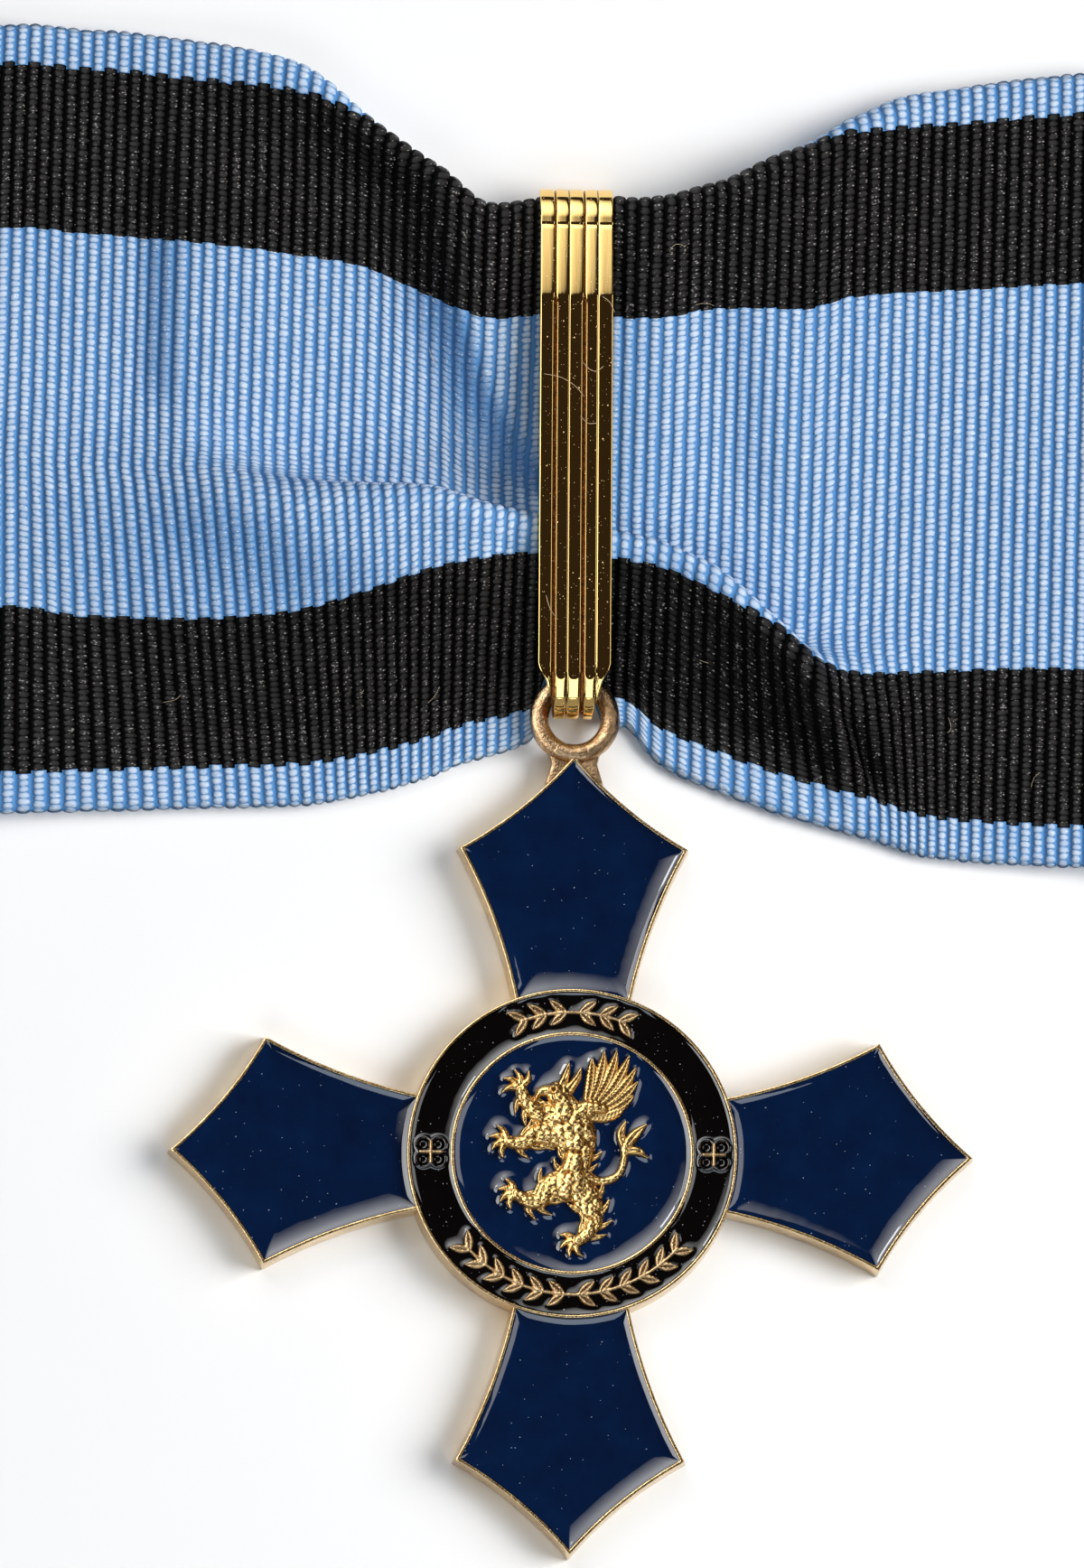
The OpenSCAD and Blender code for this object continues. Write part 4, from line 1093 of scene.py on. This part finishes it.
def clip_path():
    """The clip's outer face from the crease above the tab, up the front, over and back."""
    spans = [(CLIP_LOW, 28, 0.14), (28, 48, 0.7), (48, 50, 0.1), (50, 52.4, 0.4), (52.4, CLIP_BEND, 0.05)]
    y = join([np.arange(*span) for span in spans])
    bend = np.maximum(y - TILT_FROM, 0)
    z = CLIP_FACE - TILT * (np.sqrt(bend**2 + 0.04) - 0.2) - TILT_GROWS * bend**2
    z -= 0.035 * bell((y - 53.0) / 0.11)
    turn, radius = np.radians(np.linspace(86, -90, 34)), z[-1] / 2
    over = stacked(CLIP_BEND + (CLIP_HIGH - CLIP_BEND) * np.cos(turn), radius + radius * np.sin(turn))
    back = stacked(np.arange(52.6, 27.2, -0.8), 0)
    knots = [[27.05, 0], [25.9, 0.32], [25.1, 1.1], [24.85, 2.1], [25.0, 2.9], [25.4, 3.5], [25.9, 3.84]]
    tab = [[26.3, 4.0], [26.7, 4.17], [27.0, 4.3], [27.1, 4.345], [27.17, 4.375], [27.23, 4.39]]
    return join([stacked(y, z), over, back, spline_points(knots, 7), tab])


def clip_columns():
    """Places across the clip, closer at its edges and at the grooves' sides."""
    half_clip = CLIP_W / 2
    stops = [side * half_clip * k for side in (-1, 1) for k in (0.962, 0.98, 0.992, 1)]
    for place, half_width, _ in GROOVES:
        for half in {half_width, min(half_width, HEAD_GROOVE)}:
            stops += [place + side * (half + off) for side in (-1, 1) for off in (0.014, -0.004)]
    between = [p for p in np.linspace(-0.95, 0.95, 96) * half_clip if min(abs(p - q) for q in stops) > 0.02]
    return np.sort(np.array(stops + between))


path = clip_path()
y, z = path.T[:, :, None]
outward = left_of(unit(np.roll(path, -1, axis=0) - np.roll(path, 1, axis=0)))
out_y, out_z = outward.T[:, :, None]
on_front = z > CLIP_FACE / 2
# rounded shoulders on the front, then a tab that narrows down to its curl
tapered = np.interp(y, [24.9, 25.8, 26.7, 27.0, 27.35, 27.7], [TAB_W, 2.65, 3.2, 3.5, 3.95, CLIP_W])
behind = TAB_W + (CLIP_W - TAB_W) * ease(y, 46, 48.5)
half_width_here = np.where(on_front, tapered, behind) / 2
columns = clip_columns()
beyond = STILL + (np.abs(columns) - STILL) * (half_width_here - STILL) / (CLIP_W / 2 - STILL)
across = np.sign(columns) * np.where(np.abs(columns) < STILL, np.abs(columns), beyond)
on_head = ramp(y, 48.4, 48.9)
skin, flute = np.zeros(across.shape), np.full(across.shape, 9.0)
for place, half_width, deep in GROOVES:
    off = np.abs(across - place) - half_width - (min(HEAD_GROOVE, half_width) - half_width) * on_head
    skin -= deep * (1 - ramp(off, -0.005, 0.013))
    flute = np.minimum(flute, off)
skin += (0.002 + 0.023 * on_head + 0.06 * on_front * (1 - ramp(y, 26.9, 27.2))) * dome(ramp(flute, 0, 0.32))
to_edge = half_width_here - np.abs(across)
skin -= 0.07 * (1 - dome(ramp(to_edge, 0, BEVEL)))
skin += 0.006 * value_noise(across * 0.8, y * 0.22) * ease(to_edge, 0, 0.3)
outer = stacked(CLIP_X + across, y + out_y * skin, z + out_z * skin)
within = across[:, np.linspace(0, len(columns) - 1, 24).astype(int)]
inner = stacked(CLIP_X + within, y - out_y * SHEET, z - out_z * SHEET)
clip = Shape()
clip.grid(outer)
clip.grid(inner, flip=False)
for edge in (0, -1):
    clip.grid(np.stack([outer[:, edge], inner[:, edge]], axis=1), flip=edge == -1)
groove_lines = [(CLIP_X + place, half_width + 0.02) for place, half_width, _ in GROOVES]
clip_piece = clip.build("clip_fluted", polished_gold(groove_lines, TILT_FROM - 0.1))
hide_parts("clip")


# Hairs of dust on the clip and the ribbon

HAIRS = [
    [[-2.0, 44.3], [-1.0, 44.1], [-0.2, 43.6], [0.3, 43.0]],
    [[0.2, 45.0], [0.6, 44.6], [1.0, 44.5], [1.4, 44.8]],
    [[0.1, 41.9], [0.5, 41.5], [1.0, 41.5]],
    [[1.3, 48.8], [1.7, 48.5], [2.0, 47.9]],
    [[-1.8, 31.6], [-1.6, 30.9], [-1.3, 30.4]],
]
HAIR_Z, HAIR_R, FINE_HAIR_R = CLIP_FACE + 0.025, 0.011, 0.007
FINE_HAIRS, HAIR_SEED, HAIR_STEP = 12, 11, 0.09


def hair(p, radius, sides=5):
    """A thin tube along points, tapered at both ends."""
    ahead = unit(np.gradient(p, axis=0))
    side = unit(np.cross(ahead, [0, 0, 1.0]))
    a = around(sides)[:, None]
    size = radius * np.clip(np.sin(np.linspace(0.1, pi - 0.1, len(p))) * 3, 0.2, 1)
    rim = np.cos(a) * side[:, None] + np.sin(a) * np.cross(side, ahead)[:, None]
    rings = p[:, None] + size[:, None, None] * rim
    return join([rings, rings[:, :1]], axis=1)


def on_ribbon(s, v):
    """Points just over the front of the ribbon."""
    steps = 180
    across = front_middle(s, np.linspace(0, BAND_W, steps + 1))
    place = v / BAND_W * steps
    k = np.clip(place.astype(int), 0, steps - 1)
    rows, share = np.arange(len(s)), (place - k)[:, None]
    points = across[rows, k] * (1 - share) + across[rows, k + 1] * share
    return to_cross(points + [0, 0, CORE + RIB_HIGH + 0.03])


lint = Nodes("lint")
lint_colour = lint.mix(lint.noise(lint.position(), 2.0), (0.65, 0.52, 0.34), (0.85, 0.72, 0.5))
lint.finish(Base_Color=lint_colour, Roughness=0.6)
hairs = Shape()
for points in HAIRS:
    hairs.grid(hair(stacked(*spline_points(points, 10).T, HAIR_Z), HAIR_R), False, False)
random = np.random.default_rng(HAIR_SEED)
for k in range(FINE_HAIRS):
    s = random.uniform(*((-26, -4) if k % 2 else (5, 30)))
    v = random.uniform(*((36, 43) if k % 4 > 1 else (3, 20)))
    heading = random.uniform(0, WHOLE_TURN) + np.cumsum(random.normal(random.normal(0, 0.12), 0.1, 14))
    s, v = s + HAIR_STEP * np.cumsum(np.cos(heading)), v + HAIR_STEP * np.cumsum(np.sin(heading))
    hairs.grid(hair(on_ribbon(s, v), FINE_HAIR_R), False, False)
hairs.build("dust_hairs", lint.material)


# The press fastener between the crossed ends

SNAP_R = 5.0
snap_metal = cast_gold("snap metal", (0.62, 0.62, 0.60), (0.34, 0.34, 0.34), 0.25, 0.01)
apex = to_cross(np.array([0.0, BAND_Y + SIDE_LEN * sin(FOLD_TURN), 0.0]))
# places in from the rim, and heights
snap_line = [(0.9, 1.05), (0, 1.2), (0, 1.85), (0.5, 1.95), (0.2, 2.1), (0, 2.5), (SNAP_R, 2.55)]
snap_line = [[0, 1.05]] + [[SNAP_R - inward, z] for inward, z in snap_line]
snap = Shape().grid(lathe(rounded(snap_line, 0.2), 96, apex[:2]))
piece = snap.build("press_fastener", snap_metal)
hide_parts("ribbon_snap")


# Table, light and camera

HALF_TABLE, TABLE_Z = 1500, -0.01
table = Nodes("pale table")
table_place = table.position()
pale = table.mix(table.noise(table_place, 0.05), (0.93, 0.93, 0.935), (0.96, 0.96, 0.96))
grain = table.bump(table.noise(table_place, 2.0, 4.0), 0.01, 0.4)
table.finish(Base_Color=pale, Roughness=0.75, Specular_IOR_Level=0.2, Normal=grain)
corners = HALF_TABLE * stacked([-1, 1, 1, -1], [-1, -1, 1, 1], TABLE_Z / HALF_TABLE)
mesh = bpy.data.meshes.new("table")
mesh.from_pydata([Vector(c) * MM for c in corners], [], [(0, 1, 2, 3)])
mesh.materials.append(table.material)
floor = placed("table", mesh)

# the middle of what the lights shine at, in metres
AIM = Vector((0.0, 0.03, 0.002))
PALE_BLUE, PALE_WARM, ROOM = (0.78, 0.89, 1.0), (1.0, 0.975, 0.94), (1.0, 0.72, 0.58)


def softbox(name, toward, off_zenith, distance, size, power, spread, colour=(1, 1, 1)):
    """A gridded soft light that way round from the middle, so many degrees off the zenith."""
    a, b = radians(toward), radians(off_zenith)
    way = Vector((cos(a) * sin(b), sin(a) * sin(b), cos(b)))
    data = bpy.data.lights.new(name, "AREA")
    data.shape = "RECTANGLE"
    data.size, data.size_y = size
    data.energy, data.color, data.spread = power, colour, radians(spread)
    light = placed(name, data)
    light.location = AIM + way * distance
    light.rotation_mode = "QUATERNION"
    light.rotation_quaternion = way.to_track_quat("Z", "Y")
    return light


# the fills only shade and the cards only shine
softbox("north card", 112, 49, 0.9, (1.0, 1.35), 2.7, 75).visible_diffuse = False
softbox("west card", 185, 52, 0.8, (0.8, 0.5), 2.2, 110).visible_diffuse = False
softbox("east softbox", 0, 46, 0.8, (0.4, 0.3), 0.45, 140)
softbox("east fill", 2, 50, 0.8, (0.55, 0.55), 7.7, 180, PALE_WARM).visible_glossy = False
softbox("high fill", 100, 30, 0.9, (0.6, 0.6), 1.8, 180, PALE_BLUE).visible_glossy = False
softbox("key lamp", 140, 44, 0.9, (0.12, 0.12), 0.45, 180)
softbox("low south card", -90, 68, 0.9, (1.2, 0.5), 0.6, 180).visible_diffuse = False
softbox("south softbox", -90, 42, 0.8, (0.5, 0.3), 0.8, 150, PALE_BLUE)
world = bpy.data.worlds.new("studio")
world.use_nodes = True
background = world.node_tree.nodes["Background"]
background.inputs["Color"].default_value = (*ROOM, 1)
background.inputs["Strength"].default_value = 0.03
scene.world = world

# how much the picture holds in millimetres, the camera's distance and how it leans and rolls
VIEW_HIGH, VIEW_FAR = 89.03, 750.0
LOOK_AT = Vector((-1.85, 21.07, 2.2))
LEAN, ROLL_TURN, SENSOR = Vector((-0.0496, -0.13, 0.991)), radians(0.75), 36
roll = Matrix.Rotation(ROLL_TURN, 3, "Z")
back = (roll @ LEAN).normalized()
up = roll @ Vector((0.0, 1.0, -LEAN.y))
right = up.cross(back).normalized()
camera = placed("camera", bpy.data.cameras.new("camera"))
camera.data.sensor_width = SENSOR
camera.data.lens = SENSOR * VIEW_FAR / VIEW_HIGH
camera.data.clip_start, camera.data.clip_end = 0.05, 20
camera.rotation_mode = "QUATERNION"
camera.rotation_quaternion = Matrix((right, back.cross(right), back)).transposed().to_quaternion()
camera.location = (LOOK_AT + back * VIEW_FAR) * MM
scene.camera = camera
scene.view_settings.view_transform = "Standard"
